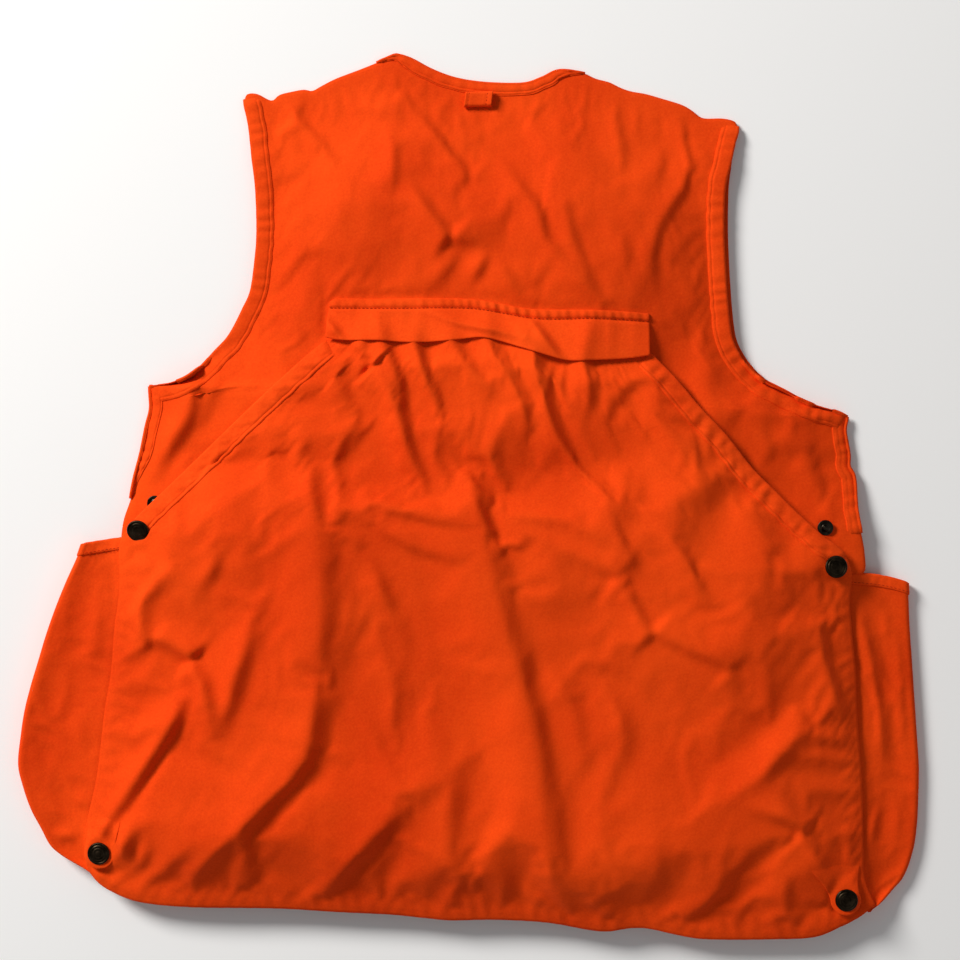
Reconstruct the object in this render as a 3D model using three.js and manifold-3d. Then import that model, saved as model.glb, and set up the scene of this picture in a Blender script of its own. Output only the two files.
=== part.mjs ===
// Hunter's blaze orange game vest, lying face down with its back and its game pouch uppermost.
// Millimetres. +X runs to the wearer's right, +Y to the neck, +Z up from the surface that the vest lies on.
import * as THREE from "three";
import { mergeVertices } from "three/addons/utils/BufferGeometryUtils.js";
import Module from "manifold-3d";

const wasm = await Module();
wasm.setup();
const { smoothstep, lerp, clamp } = THREE.MathUtils;

// ---- Driving dimensions ----
const CLOTH = 1.2; // one layer of cotton duck, or a turned hem
const LAYER_GAP = 1.2; // between pieces that lie on each other
const FRONT_LIFT = 11; // how high the pockets and the zip hold the front panels
const CENTRE_X = 18; // centre front, where the zip runs
const BODY_RISE_CHEST = 20; // slack height between front and back at the chest
const BODY_RISE_HEM = 10; // the same below the pocket tops
const ARMHOLE_GAP = 5; // how far the back stands off the fronts along the armholes
const LINING_GAP = 2; // between the back panel and the pouch's lining
const POUCH_RISE = 12; // slack height inside the game pouch
const MOUTH_RISE = 5; // the same under the pouch's top edge
const POCKET_HEIGHT = 16; // a front pocket's outside height at the side
const HEM_WIDTH = 11; // of the armhole facings and of the pouch's slanted edges
const SNAP_SIDES = 20;
const CAP_SIDES = 24;

// ---- Outlines, as [x, y] points from the hem upwards or from the wearer's left to the right ----
const LEFT_SEAM = [[-296, -286], [-299, -258], [-291, -219], [-280, -156], [-274, -76], [-272, -38]];
const RIGHT_SEAM = [[313, -318], [310, -290], [308, -240], [305, -170], [300, -110], [298, -62]];
const LEFT_FLANK = [[-272, -38], [-265, 2], [-257, 25], [-252, 50], [-249, 66], [-251, 86]];
const RIGHT_FLANK = [[298, -62], [307, -20], [305, 10], [300, 30], [297, 50], [299, 62]];
const LEFT_ARMHOLE = [
  [-251, 86], [-228, 89], [-217, 95], [-205, 107], [-187, 127], [-177, 148], [-169, 170],
  [-165, 200], [-165, 230], [-168, 265], [-171, 295], [-176, 314],
];
const RIGHT_ARMHOLE = [
  [299, 62], [275, 68], [255, 76], [239, 86], [224, 98], [212, 117], [205, 147],
  [201, 180], [202, 215], [205, 255], [209, 275], [212, 293],
];
const SHOULDER_LEFT = [[-176, 314], [-155, 311], [-125, 319], [-95, 331], [-60, 347]];
const NECK = [[-60, 347], [-38, 338], [-18, 330], [4, 325], [28, 323], [50, 325], [66, 331], [92, 332]];
const SHOULDER_RIGHT = [[92, 332], [125, 320], [160, 311], [187, 297], [212, 293]];
const HEM = [
  [-292, -288], [-255, -308], [-170, -315], [-60, -320], [40, -325], [150, -335], [250, -337], [309, -316],
];
const POUCH_BOTTOM = [
  [-296, -291], [-270, -312], [-240, -320], [-174, -323], [-90, -326], [-18, -332], [60, -334],
  [105, -340], [130, -338], [186, -347], [268, -346], [294, -335], [314, -325],
];
const LEFT_POCKET_EDGE = [
  [-303, -290], [-322, -281], [-334, -266], [-347, -236], [-355.4, -213], [-348, -170], [-337, -129],
  [-321, -80], [-303, -38],
];
const RIGHT_POCKET_EDGE = [
  [321, -320], [343, -302], [351, -280], [355, -230], [355, -200], [351, -140], [347, -100], [347, -70],
];
const POCKET_INNER = { left: -75, right: 112 }; // the pockets' inner edges
const HINGE_LEFT = [-273, -46]; // where the pouch's mouth bends away from the sewn part
const HINGE_RIGHT = [298, -74];
const MOUTH_LEFT = [-116, 114];
const MOUTH_RIGHT = [143, 104];
const FLAP_HINGE = [[-109, 144], [141, 134.5]];
const FLAP_BOTTOM = [[-111, 121], [-45, 119], [0, 122], [14, 121], [50, 111], [76, 104.5], [141, 107]];
const BAND_TOP = [[-107, 153], [-40, 153], [0, 153], [40, 145], [60, 143], [141, 141]];
const ZIP_TOP = 150;
const ZIP_BOTTOM = -300;
const UPPER_CAPS = { left: [-256, -28], right: [285.5, -56] };
const UPPER_STUDS = { left: [-245, -7], right: [279, -26] };
const LOWER_SNAPS = { left: [-287, -279], right: [294, -315] };

// ---- Colours ----
const orange = new THREE.MeshStandardMaterial({ color: 0xe2481a, roughness: 0.85 });
const lining = new THREE.MeshStandardMaterial({ color: 0xd9531f, roughness: 0.5 });
const tape = new THREE.MeshStandardMaterial({ color: 0xd84a1c, roughness: 0.9 });
const brass = new THREE.MeshStandardMaterial({ color: 0x3a3226, roughness: 0.4, metalness: 0.9 });
const plastic = new THREE.MeshStandardMaterial({ color: 0xc8431b, roughness: 0.45 });

// ---- Curves ----
// The point a share t of the way along a polyline.
function along(points, t) {
  const steps = points.slice(1).map((p, i) => Math.hypot(p[0] - points[i][0], p[1] - points[i][1]));
  let left = clamp(t, 0, 1) * steps.reduce((sum, step) => sum + step, 0);
  let i = 0;
  while (i < steps.length - 1 && left > steps[i]) left -= steps[i++];
  const share = clamp(left / steps[i], 0, 1);
  return [lerp(points[i][0], points[i + 1][0], share), lerp(points[i][1], points[i + 1][1], share)];
}

// One edge of a patch: several polylines, each covering its stretch of 0 to 1 between two bounds.
const edge = (lines, bounds) => (t) => {
  const i = Math.min(bounds.slice(1).findIndex((end) => t <= end + 1e-9), lines.length - 1);
  return along(lines[i], (t - bounds[i]) / (bounds[i + 1] - bounds[i]));
};

// A polyline read as a function: the coordinate `out` where the coordinate `into` has a value.
function readAcross(points, into, out, value) {
  const sorted = [...points].sort((a, b) => a[into] - b[into]);
  const last = sorted.length - 1;
  const found = sorted.findIndex((p) => p[into] >= value);
  const i = clamp(found < 0 ? last : found, 1, last);
  const [a, b] = [sorted[i - 1], sorted[i]];
  return lerp(a[out], b[out], clamp((value - a[into]) / (b[into] - a[into]), 0, 1));
}
const xOf = (points, y) => readAcross(points, 1, 0, y);
const yOf = (points, x) => readAcross(points, 0, 1, x);

// A smooth four-sided patch between its edges (a Coons patch).
const patch = (left, right, bottom, top) => (u, v) => {
  const [l, r, b, t] = [left(v), right(v), bottom(u), top(u)];
  const corners = [bottom(0), bottom(1), top(0), top(1)];
  return [0, 1].map((k) => {
    const ruled = lerp(b[k], t[k], v) + lerp(l[k], r[k], u);
    return ruled - lerp(lerp(corners[0][k], corners[1][k], u), lerp(corners[2][k], corners[3][k], u), v);
  });
};

// ---- Heights of the layers over the surface, at any x and y ----
const LEFT_BODY = [...LEFT_SEAM, ...LEFT_FLANK.slice(1), ...LEFT_ARMHOLE.slice(1)];
const RIGHT_BODY = [...RIGHT_SEAM, ...RIGHT_FLANK.slice(1), ...RIGHT_ARMHOLE.slice(1)];
const BODY_TOP = [...SHOULDER_LEFT, ...NECK.slice(1), ...SHOULDER_RIGHT.slice(1)];
const across = (left, right, x, y) => clamp((x - xOf(left, y)) / (xOf(right, y) - xOf(left, y)), 0, 1);
const crown = (share, power) => 1 - Math.abs(2 * share - 1) ** power;

const pocketLift = (y) => FRONT_LIFT * (1 - smoothstep(y, -40, 30));
function frontUnder(x, y) {
  const low = pocketLift(y);
  const ridge = Math.exp(-(((x - CENTRE_X) / 60) ** 2)) * smoothstep(yOf(BODY_TOP, x) - y, 20, 120);
  return low + (FRONT_LIFT - low) * ridge;
}
function backUnder(x, y) {
  const rise = lerp(BODY_RISE_HEM, BODY_RISE_CHEST, smoothstep(y, -40, 60));
  const share = crown(across(LEFT_BODY, RIGHT_BODY, x, y), 3);
  const top = smoothstep(yOf(BODY_TOP, x) - y, 0, 120);
  const armhole = ARMHOLE_GAP * smoothstep(y, 90, 130) * (1 - smoothstep(y, 250, 300));
  return pocketLift(y) + CLOTH + LAYER_GAP + Math.max(rise * share * top, armhole);
}
const backOver = (x, y) => backUnder(x, y) + CLOTH;
const liningUnder = (x, y) => backOver(x, y) + LINING_GAP;

const LEFT_POUCH = [...LEFT_SEAM, MOUTH_LEFT];
const RIGHT_POUCH = [...RIGHT_SEAM, MOUTH_RIGHT];
function pouchUnder(x, y) {
  const share = crown(across(LEFT_POUCH, RIGHT_POUCH, x, y), 4);
  const rise = lerp(POUCH_RISE, MOUTH_RISE, smoothstep(y, -40, 110));
  const bottom = smoothstep(y - yOf(POUCH_BOTTOM, x), 0, 70);
  const edgeGap = lerp(3, 6, smoothstep(y, -90, -40));
  return backOver(x, y) + edgeGap + rise * share * bottom;
}
const pouchOver = (x, y) => pouchUnder(x, y) + CLOTH;

// The highest or lowest point of a layer under a disc, where a snap part has to lie clear of it.
function extreme(pick, height, [x, y], radius) {
  const ring = Array.from({ length: 16 }, (_, i) => (i * Math.PI) / 8);
  const points = [0, 0.5, 1].flatMap((share) =>
    ring.map((a) => height(x + Math.cos(a) * radius * share, y + Math.sin(a) * radius * share)));
  return pick(...points);
}

// ---- Solids ----
// A closed solid between two grids of points, under(i, j) and over(i, j), with walls round its rim.
function between(columns, rows, under, over) {
  const positions = [];
  const grids = [under, over].map((at) => (i, j) => at(i / columns, j / rows));
  const face = (...points) => points.forEach((p) => positions.push(...p));
  const quad = (a, b, c, d) => {
    face(a, b, c);
    face(a, c, d);
  };
  const [low, high] = grids;
  for (let i = 0; i < columns; i++) {
    for (let j = 0; j < rows; j++) {
      quad(high(i, j), high(i + 1, j), high(i + 1, j + 1), high(i, j + 1));
      quad(low(i, j), low(i, j + 1), low(i + 1, j + 1), low(i + 1, j));
    }
  }
  for (let i = 0; i < columns; i++) {
    quad(low(i, 0), low(i + 1, 0), high(i + 1, 0), high(i, 0));
    quad(low(i + 1, rows), low(i, rows), high(i, rows), high(i + 1, rows));
  }
  for (let j = 0; j < rows; j++) {
    quad(low(0, j + 1), low(0, j), high(0, j), high(0, j + 1));
    quad(low(columns, j), low(columns, j + 1), high(columns, j + 1), high(columns, j));
  }
  const attribute = new THREE.Float32BufferAttribute(positions, 3);
  return new THREE.BufferGeometry().setAttribute("position", attribute);
}

// A sheet of cloth over a patch, with its underside at a height function.
function sheet(columns, rows, at, height, thickness = CLOTH) {
  const lifted = (extra) => (u, v) => {
    const [x, y] = at(u, v);
    return [x, y, height(x, y) + extra];
  };
  return between(columns, rows, lifted(0), lifted(thickness));
}

// A strip along a polyline, from the line inwards by its width. side is 1 where inwards is to its left.
function strip(points, width, side, steps, height, thickness) {
  const at = (u, v) => {
    const [x, y] = along(points, v);
    const [ahead, behind] = [along(points, v + 0.02), along(points, v - 0.02)];
    const [dx, dy] = [ahead[0] - behind[0], ahead[1] - behind[1]];
    const reach = (width * (side > 0 ? 1 - u : u)) / Math.hypot(dx, dy);
    return [x - side * dy * reach, y + side * dx * reach];
  };
  return sheet(1, steps, at, height, thickness);
}

function toManifold(geometry) {
  const loose = geometry.index ? geometry.toNonIndexed() : geometry;
  const plain = new THREE.BufferGeometry().setAttribute("position", loose.getAttribute("position"));
  const merged = mergeVertices(plain, 1e-3);
  return new wasm.Manifold(new wasm.Mesh({
    numProp: 3,
    vertProperties: merged.attributes.position.array,
    triVerts: new Uint32Array(merged.index.array),
  }));
}

function fromManifold(solid) {
  const mesh = solid.getMesh();
  return new THREE.BufferGeometry()
    .setAttribute("position", new THREE.BufferAttribute(new Float32Array(mesh.vertProperties), 3))
    .setIndex(new THREE.BufferAttribute(mesh.triVerts, 1));
}

// Cloth with a round hole for each snap barrel that goes through it.
function punched(geometry, places, radius = 2.5) {
  const holes = places.map(([x, y]) => {
    const drill = new THREE.CylinderGeometry(radius, radius, 120, 12);
    return toManifold(drill.rotateX(Math.PI / 2).translate(x, y, 0));
  });
  return fromManifold(holes.reduce((cloth, hole) => cloth.subtract(hole), toManifold(geometry)));
}

function joined(...geometries) {
  return fromManifold(geometries.map(toManifold).reduce((all, next) => all.add(next)));
}

// A turned solid from a profile of [radius, height] points, about a vertical axis.
const turned = (profile, sides) =>
  new THREE.LatheGeometry(profile.map(([r, z]) => new THREE.Vector2(r, z)), sides).rotateX(Math.PI / 2);

function block(width, depth, height, x, y, z) {
  return new THREE.BoxGeometry(width, depth, height).translate(x, y, z);
}

// ---- Snap parts ----
const CAP_RADIUS = 8.75;
const CAP_PROFILE = [
  [0, -1.8], [2, -1.8], [2, 0], [8.2, 0], [CAP_RADIUS, 0.5], [8.5, 1.3], [7.4, 1.7], [6.7, 1.5], [6.1, 1.9],
  [4.4, 2.1], [3.8, 1.9], [2.6, 2.2], [0, 2.3],
];
const SOCKET_HEIGHT = 2.2;
const SOCKET_PROFILE = [
  [2.7, 0], [5.4, 0], [6.2, 0.7], [5.6, 1.7], [4, SOCKET_HEIGHT], [2.7, SOCKET_HEIGHT], [2.7, 0],
];
const STUD_FLANGE = 0.6;
const STUD_PROFILE = [
  [0, 1.5], [1.7, 1.5], [1.7, 0], [6.2, 0], [6.2, STUD_FLANGE], [2.5, 0.9], [1.9, 1.4], [2.2, 2.2],
  [1.6, 2.8], [0, 2.9],
];
const POST_PROFILE = [[0, 0], [5.2, 0], [5.2, 0.6], [1.3, 0.6], [1.3, 2.5], [0, 2.5]];

const vest = new THREE.Group();
function add(name, geometry, material, at = [0, 0, 0]) {
  const mesh = new THREE.Mesh(geometry, material);
  mesh.name = name;
  mesh.position.set(...at);
  vest.add(mesh);
}

// ---- Body ----
const BODY_BOUNDS = [0, 0.38, 0.56, 1];
const leftBody = edge([LEFT_SEAM, LEFT_FLANK, LEFT_ARMHOLE], BODY_BOUNDS);
const rightBody = edge([RIGHT_SEAM, RIGHT_FLANK, RIGHT_ARMHOLE], BODY_BOUNDS);
const onLine = (points) => (t) => along(points, t);
// The body's side, drawn in towards the centre below the pouch, and ending at the given hem corner.
const drawnIn = (side, sign, hemCorner) => (t) => {
  const [x, y] = side(t);
  return t === 0 ? hemCorner : [x - sign * 4 * (1 - smoothstep(t, 0.1, 0.4)), y];
};
const backPatch = patch(
  drawnIn(leftBody, -1, HEM[0]),
  drawnIn(rightBody, 1, HEM.at(-1)),
  onLine(HEM),
  edge([SHOULDER_LEFT, NECK, SHOULDER_RIGHT], [0, 0.31, 0.69, 1]),
);
const upperStuds = Object.values(UPPER_STUDS);
add("back_panel", punched(sheet(14, 18, backPatch, backUnder), upperStuds), orange);

const ZIP_EDGE = 9; // from centre front to a front panel's edge, where the tape shows
const FRONT_HEM = { left: [-290, -284], right: [307, -310] };
const FRONT_NECK = { left: [-60, 346], right: [92, 331] };
for (const [side, sign] of [["left", -1], ["right", 1]]) {
  const outer = side === "left" ? leftBody : rightBody;
  const shoulder = side === "left" ? SHOULDER_LEFT : [...SHOULDER_RIGHT].reverse();
  const centreX = CENTRE_X + sign * ZIP_EDGE;
  const zipFoot = [centreX, ZIP_BOTTOM - 4];
  const zipHead = [centreX, ZIP_TOP];
  const centre = edge([[zipFoot, zipHead], [zipHead, FRONT_NECK[side]]], [0, 0.62, 1]);
  const hem = onLine([FRONT_HEM[side], zipFoot]);
  const flat = patch(drawnIn(outer, sign, FRONT_HEM[side]), centre, hem, onLine(shoulder));
  const facing = side === "left" ? flat : (u, v) => flat(1 - u, v);
  add(`front_panel_${side}`, sheet(9, 16, facing, frontUnder), orange);
}

// ---- Facings and seams ----
const onBack = (x, y) => extreme(Math.max, backOver, [x, y], 6) + LAYER_GAP;
const shrink = (points, by) => [along(points, by), ...points.slice(1, -1), along(points, 1 - by)];
add("neck_facing", strip(shrink(NECK, 0.02), 8, -1, 12, onBack, 1), orange);
add("armhole_facing_left", strip(shrink(LEFT_ARMHOLE, 0.05), HEM_WIDTH, -1, 16, onBack, 1), orange);
add("armhole_facing_right", strip(shrink(RIGHT_ARMHOLE, 0.05), HEM_WIDTH, 1, 16, onBack, 1), orange);
add("side_seam_left", strip(shrink(LEFT_FLANK.slice(1), 0.08), 9, -1, 6, onBack, 1), orange);
add("side_seam_right", strip(shrink(RIGHT_FLANK.slice(1), 0.08), 9, 1, 6, onBack, 1), orange);

// ---- Hanger loop: a strip folded into a flat loop that hangs from the neck seam ----
const LOOP_X = 8;
const LOOP_TOP = 317;
const LOOP_LENGTH = 13;
const LOOP_WIDTH = 22;
const LOOP_HEIGHT = 7;
const LOOP_THICKNESS = 1;
function loopOutline(wall) {
  const radius = LOOP_HEIGHT / 2 - wall;
  const ends = [LOOP_LENGTH - LOOP_HEIGHT / 2, LOOP_HEIGHT / 2];
  return ends.flatMap((x, end) => Array.from({ length: 9 }, (_, i) => {
    const angle = (end - 0.5 + i / 8) * Math.PI;
    return new THREE.Vector2(x + radius * Math.cos(angle), radius * Math.sin(angle));
  }));
}
const loopShape = new THREE.Shape(loopOutline(0));
loopShape.holes.push(new THREE.Path(loopOutline(LOOP_THICKNESS)));
const loopBase = extreme(Math.max, onBack, [LOOP_X, LOOP_TOP - LOOP_LENGTH / 2], LOOP_WIDTH / 2) + 1;
const lengthwise = new THREE.Matrix4().makeBasis(
  new THREE.Vector3(0, 1, 0), new THREE.Vector3(0, 0, 1), new THREE.Vector3(1, 0, 0),
);
const loop = new THREE.ExtrudeGeometry(loopShape, { depth: LOOP_WIDTH, bevelEnabled: false })
  .applyMatrix4(lengthwise)
  .translate(LOOP_X - LOOP_WIDTH / 2, LOOP_TOP - LOOP_LENGTH, loopBase + LOOP_HEIGHT / 2);
add("hanger_loop", loop, orange);

// ---- Game pouch ----
const hinge = [HINGE_LEFT, HINGE_RIGHT];
const pouchBottomInset = (t) => {
  const [x, y] = along(POUCH_BOTTOM, t);
  return [x, y + 1];
};
// The pouch's sewn side, just inside the body's seam, from its bottom corner up to the hinge line.
const sewnSide = (seam, sign, bottomCorner, top) => (t) => {
  if (t === 0) return bottomCorner;
  if (t === 1) return top;
  const [x, y] = along([...seam.slice(0, -1), top], t);
  return [x - sign * 0.6, y];
};
const sewnLeft = sewnSide(LEFT_SEAM, -1, pouchBottomInset(0), HINGE_LEFT);
const sewnRight = sewnSide(RIGHT_SEAM, 1, pouchBottomInset(1), HINGE_RIGHT);
const lowerPatch = patch(sewnLeft, sewnRight, pouchBottomInset, onLine(hinge));
const lowerSnaps = Object.values(LOWER_SNAPS);
add("pouch_panel", punched(sheet(16, 10, lowerPatch, pouchUnder), lowerSnaps), orange);

const SLIT = 1.2; // between the sewn part and the mouth, which are one cloth that bends here
const mouthFoot = hinge.map(([x, y]) => [x, y + SLIT]);
const mouthLeft = [mouthFoot[0], [-268, -26], MOUTH_LEFT];
const mouthRight = [mouthFoot[1], [299, -48], MOUTH_RIGHT];
const mouthTop = [MOUTH_LEFT, ...FLAP_BOTTOM.map(([x, y]) => [clamp(x, -108, 138), y - 1.5]), MOUTH_RIGHT];
const mouthPatch = patch(onLine(mouthLeft), onLine(mouthRight), onLine(mouthFoot), onLine(mouthTop));
add("pouch_mouth", punched(sheet(16, 8, mouthPatch, pouchUnder), Object.values(UPPER_CAPS)), orange);

const onPouch = (x, y) => extreme(Math.max, pouchOver, [x, y], 6) + LAYER_GAP;
add("pouch_hem_left", strip([[-236, 0], MOUTH_LEFT], HEM_WIDTH, -1, 8, onPouch, 0.8), orange);
add("pouch_hem_right", strip([[270, -27], MOUTH_RIGHT], HEM_WIDTH, 1, 8, onPouch, 0.8), orange);

const LINING_BOTTOM = [[-255, -262], [272, -286]];
const LINING_TOP = [[-118, 96], [140, 88]];
const liningPatch = (u, v) => along([along(LINING_BOTTOM, u), along(LINING_TOP, u)], v);
add("pouch_lining", sheet(10, 10, liningPatch, liningUnder, 0.8), lining);

const band = patch(
  onLine([FLAP_HINGE[0], BAND_TOP[0]]), onLine([FLAP_HINGE[1], BAND_TOP.at(-1)]),
  onLine(FLAP_HINGE), onLine(BAND_TOP),
);
add("flap_band", sheet(12, 1, band, onBack, 1.4), orange);

const FLAP_RISE = 6; // the flap's free edge stands this much further off the back than its seam
const flapTopEdge = FLAP_HINGE.map(([x, y]) => [x, y - 0.6]);
const flapPatch = patch(
  onLine([FLAP_BOTTOM[0], flapTopEdge[0]]), onLine([FLAP_BOTTOM.at(-1), flapTopEdge.at(-1)]),
  onLine(FLAP_BOTTOM), onLine(flapTopEdge),
);
const flapUnder = (x, y) => onBack(x, y) + FLAP_RISE * clamp((yOf(FLAP_HINGE, x) - y) / 28, 0, 1);
add("pouch_flap", sheet(12, 3, flapPatch, flapUnder), orange);

// ---- Snaps ----
for (const side of ["left", "right"]) {
  const [capAt, studAt, lowerAt] = [UPPER_CAPS[side], UPPER_STUDS[side], LOWER_SNAPS[side]];
  const at = ([x, y], z) => [x, y, z];
  const cap = () => turned(CAP_PROFILE, CAP_SIDES);
  const socket = () => turned(SOCKET_PROFILE, SNAP_SIDES);
  const stud = () => turned(STUD_PROFILE, SNAP_SIDES);
  const post = () => turned(POST_PROFILE, SNAP_SIDES);

  // The upper pair is undone: cap and socket on the pouch's corner, stud and post on the back panel.
  const capZ = extreme(Math.max, pouchOver, capAt, 9) + 0.3;
  const socketZ = extreme(Math.min, pouchUnder, capAt, 6.4) - 0.3 - SOCKET_HEIGHT;
  add(`upper_cap_${side}`, cap(), brass, at(capAt, capZ));
  add(`upper_socket_${side}`, socket(), brass, at(capAt, socketZ));
  const studZ = extreme(Math.max, backOver, studAt, 6.4) + 0.3;
  add(`upper_stud_${side}`, stud(), brass, at(studAt, studZ));
  const postZ = Math.min(studZ - 1.4, extreme(Math.min, backUnder, studAt, 5.4) - 1.5);
  add(`upper_post_${side}`, post(), brass, at(studAt, postZ));

  // The lower pair is fastened: post, pouch corner, stud, socket, corner tab, cap.
  const lowerStudZ = extreme(Math.max, pouchOver, lowerAt, 6.4) + 0.3;
  const lowerPostZ = Math.min(lowerStudZ - 1.4, extreme(Math.min, pouchUnder, lowerAt, 5.4) - 1.5);
  const lowerSocketZ = lowerStudZ + STUD_FLANGE + 0.5;
  const tabZ = lowerSocketZ + SOCKET_HEIGHT + 0.3;
  add(`lower_post_${side}`, post(), brass, at(lowerAt, lowerPostZ));
  add(`lower_stud_${side}`, stud(), brass, at(lowerAt, lowerStudZ));
  add(`lower_socket_${side}`, socket(), brass, at(lowerAt, lowerSocketZ));
  const tab = new THREE.Shape();
  tab.moveTo(-12, 26);
  tab.lineTo(-12, 0);
  tab.absarc(0, 0, 12, Math.PI, 2 * Math.PI, false);
  tab.lineTo(12, 26);
  const tabSolid = new THREE.ExtrudeGeometry(tab, { depth: CLOTH, bevelEnabled: false, curveSegments: 10 });
  add(`pouch_corner_${side}`, punched(tabSolid.translate(...at(lowerAt, tabZ)), [lowerAt]), orange);
  add(`lower_cap_${side}`, cap(), brass, at(lowerAt, tabZ + CLOTH + 0.3));
}

// ---- Front pockets: each wraps round the vest's side, sewn to the pouch above and to the front below ----
function pocket(outerEdge, seam, innerX, sign, rows) {
  const half = POCKET_HEIGHT / 2;
  const flatSteps = 3; // across the lower layer, and again across the upper one
  const turnSteps = 4;
  const steps = turnSteps + 2 * flatSteps;
  const points = (inward) => (u, v) => {
    const [outerX, y] = along(outerEdge, v);
    const radius = half - inward;
    const foldX = outerX - sign * half;
    const seamX = xOf(seam, y) + sign * 1.4;
    const step = u * steps;
    if (step <= flatSteps) return [lerp(innerX, foldX, step / flatSteps), y, inward];
    if (step < flatSteps + turnSteps) {
      const angle = -Math.PI / 2 + (Math.PI * (step - flatSteps)) / turnSteps;
      return [foldX + sign * radius * Math.cos(angle), y, half + radius * Math.sin(angle)];
    }
    const endX = Math.abs(seamX) < Math.abs(foldX) ? seamX : foldX;
    return [lerp(foldX, endX, (step - flatSteps - turnSteps) / flatSteps), y, POCKET_HEIGHT - inward];
  };
  const [outside, inside] = [points(0), points(CLOTH)];
  return between(steps, rows, sign > 0 ? outside : inside, sign > 0 ? inside : outside);
}
const leftEdge = [[-310, -287], ...LEFT_POCKET_EDGE.slice(1, -1), [-304, -47]];
const rightEdge = [[330, -313], ...RIGHT_POCKET_EDGE.slice(1, -1), [347, -79]];
add("pocket_left", pocket(leftEdge, LEFT_SEAM, POCKET_INNER.left, -1, 9), orange);
add("pocket_right", pocket(rightEdge, RIGHT_SEAM, POCKET_INNER.right, 1, 9), orange);
add("pocket_hem_left", pocket([[-304, -46.5], [-302.5, -38]], LEFT_SEAM, POCKET_INNER.left, -1, 1), orange);
add("pocket_hem_right", pocket([[347, -78.5], [347, -70]], RIGHT_SEAM, POCKET_INNER.right, 1, 1), orange);

// ---- Zip ----
const ZIP_Z = FRONT_LIFT; // the tape's underside
const zipLength = ZIP_TOP - ZIP_BOTTOM;
const zipMiddle = (ZIP_TOP + ZIP_BOTTOM) / 2;
const CHAIN_INNER = 0.8; // from centre front to the teeth
const CHAIN_WIDTH = 2.2;
const CHAIN_HEIGHT = 2.4;
const TAPE_THICKNESS = 0.6;
for (const [side, sign] of [["left", -1], ["right", 1]]) {
  const chainX = CENTRE_X + sign * (CHAIN_INNER + CHAIN_WIDTH / 2);
  const chain = block(CHAIN_WIDTH, zipLength - 10, CHAIN_HEIGHT, chainX, zipMiddle, ZIP_Z);
  add(`zip_chain_${side}`, chain, plastic);
  const tapeInner = CHAIN_INNER + CHAIN_WIDTH + 0.3;
  const tapeWidth = ZIP_EDGE - 0.4 - tapeInner;
  const tapeX = CENTRE_X + sign * (tapeInner + tapeWidth / 2);
  add(`zip_tape_${side}`, block(tapeWidth, zipLength, TAPE_THICKNESS, tapeX, zipMiddle, ZIP_Z), tape);
  add(`zip_stop_${side}`, block(2.2, 3.5, 3, chainX, ZIP_TOP - 2.8, ZIP_Z), brass);
}
add("zip_box", block(5.8, 4, 3.2, CENTRE_X, ZIP_BOTTOM + 2.6, ZIP_Z), brass);

// The slider is an I-section that runs on both chains, with a bridge under it for the pull's eye.
const SLIDER_Y = ZIP_TOP - 12;
const PLATE = 1;
const SLIDER_LENGTH = 12;
const plateZ = CHAIN_HEIGHT / 2 + 0.3 + PLATE / 2;
const BRIDGE_DROP = 2.7;
const bridgeTop = ZIP_Z - plateZ - PLATE / 2;
const bridgeZ = bridgeTop - BRIDGE_DROP / 2 + 0.1;
const slider = joined(
  block(8.6, SLIDER_LENGTH, PLATE, CENTRE_X, SLIDER_Y, ZIP_Z + plateZ),
  block(8.6, SLIDER_LENGTH, PLATE, CENTRE_X, SLIDER_Y, ZIP_Z - plateZ),
  block(1, SLIDER_LENGTH, 2 * plateZ, CENTRE_X, SLIDER_Y, ZIP_Z),
  block(1.6, 1.2, BRIDGE_DROP, CENTRE_X, SLIDER_Y + 4.4, bridgeZ),
  block(1.6, 1.2, BRIDGE_DROP, CENTRE_X, SLIDER_Y - 1.4, bridgeZ),
  block(1.6, 7, 1, CENTRE_X, SLIDER_Y + 1.5, bridgeTop - BRIDGE_DROP + 0.1),
);
add("zip_slider", slider, brass);

const PIN_Y = SLIDER_Y + 2.8;
const PIN_Z = bridgeTop - 0.95;
const PULL_LENGTH = 27;
const eye = block(2.8, 8.2, 4, CENTRE_X, PIN_Y - 4.7, PIN_Z);
const cordHole = new THREE.CylinderGeometry(1.5, 1.5, 6, 16).rotateX(Math.PI / 2)
  .translate(CENTRE_X, PIN_Y - PULL_LENGTH + 4.5, PIN_Z);
const pull = [eye, cordHole].reduce(
  (plate, hole) => plate.subtract(toManifold(hole)),
  toManifold(block(6.4, PULL_LENGTH, 1.2, CENTRE_X, PIN_Y - PULL_LENGTH / 2 + 0.6, PIN_Z)),
);
add("zip_pull", fromManifold(pull), brass);

export default vest;
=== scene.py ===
# Hunter's orange game vest, lying face down. Lengths in this script are millimetres until a mesh is made.
import math

import bmesh
import bpy
import numpy as np
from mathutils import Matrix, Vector
from mathutils.bvhtree import BVHTree


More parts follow.
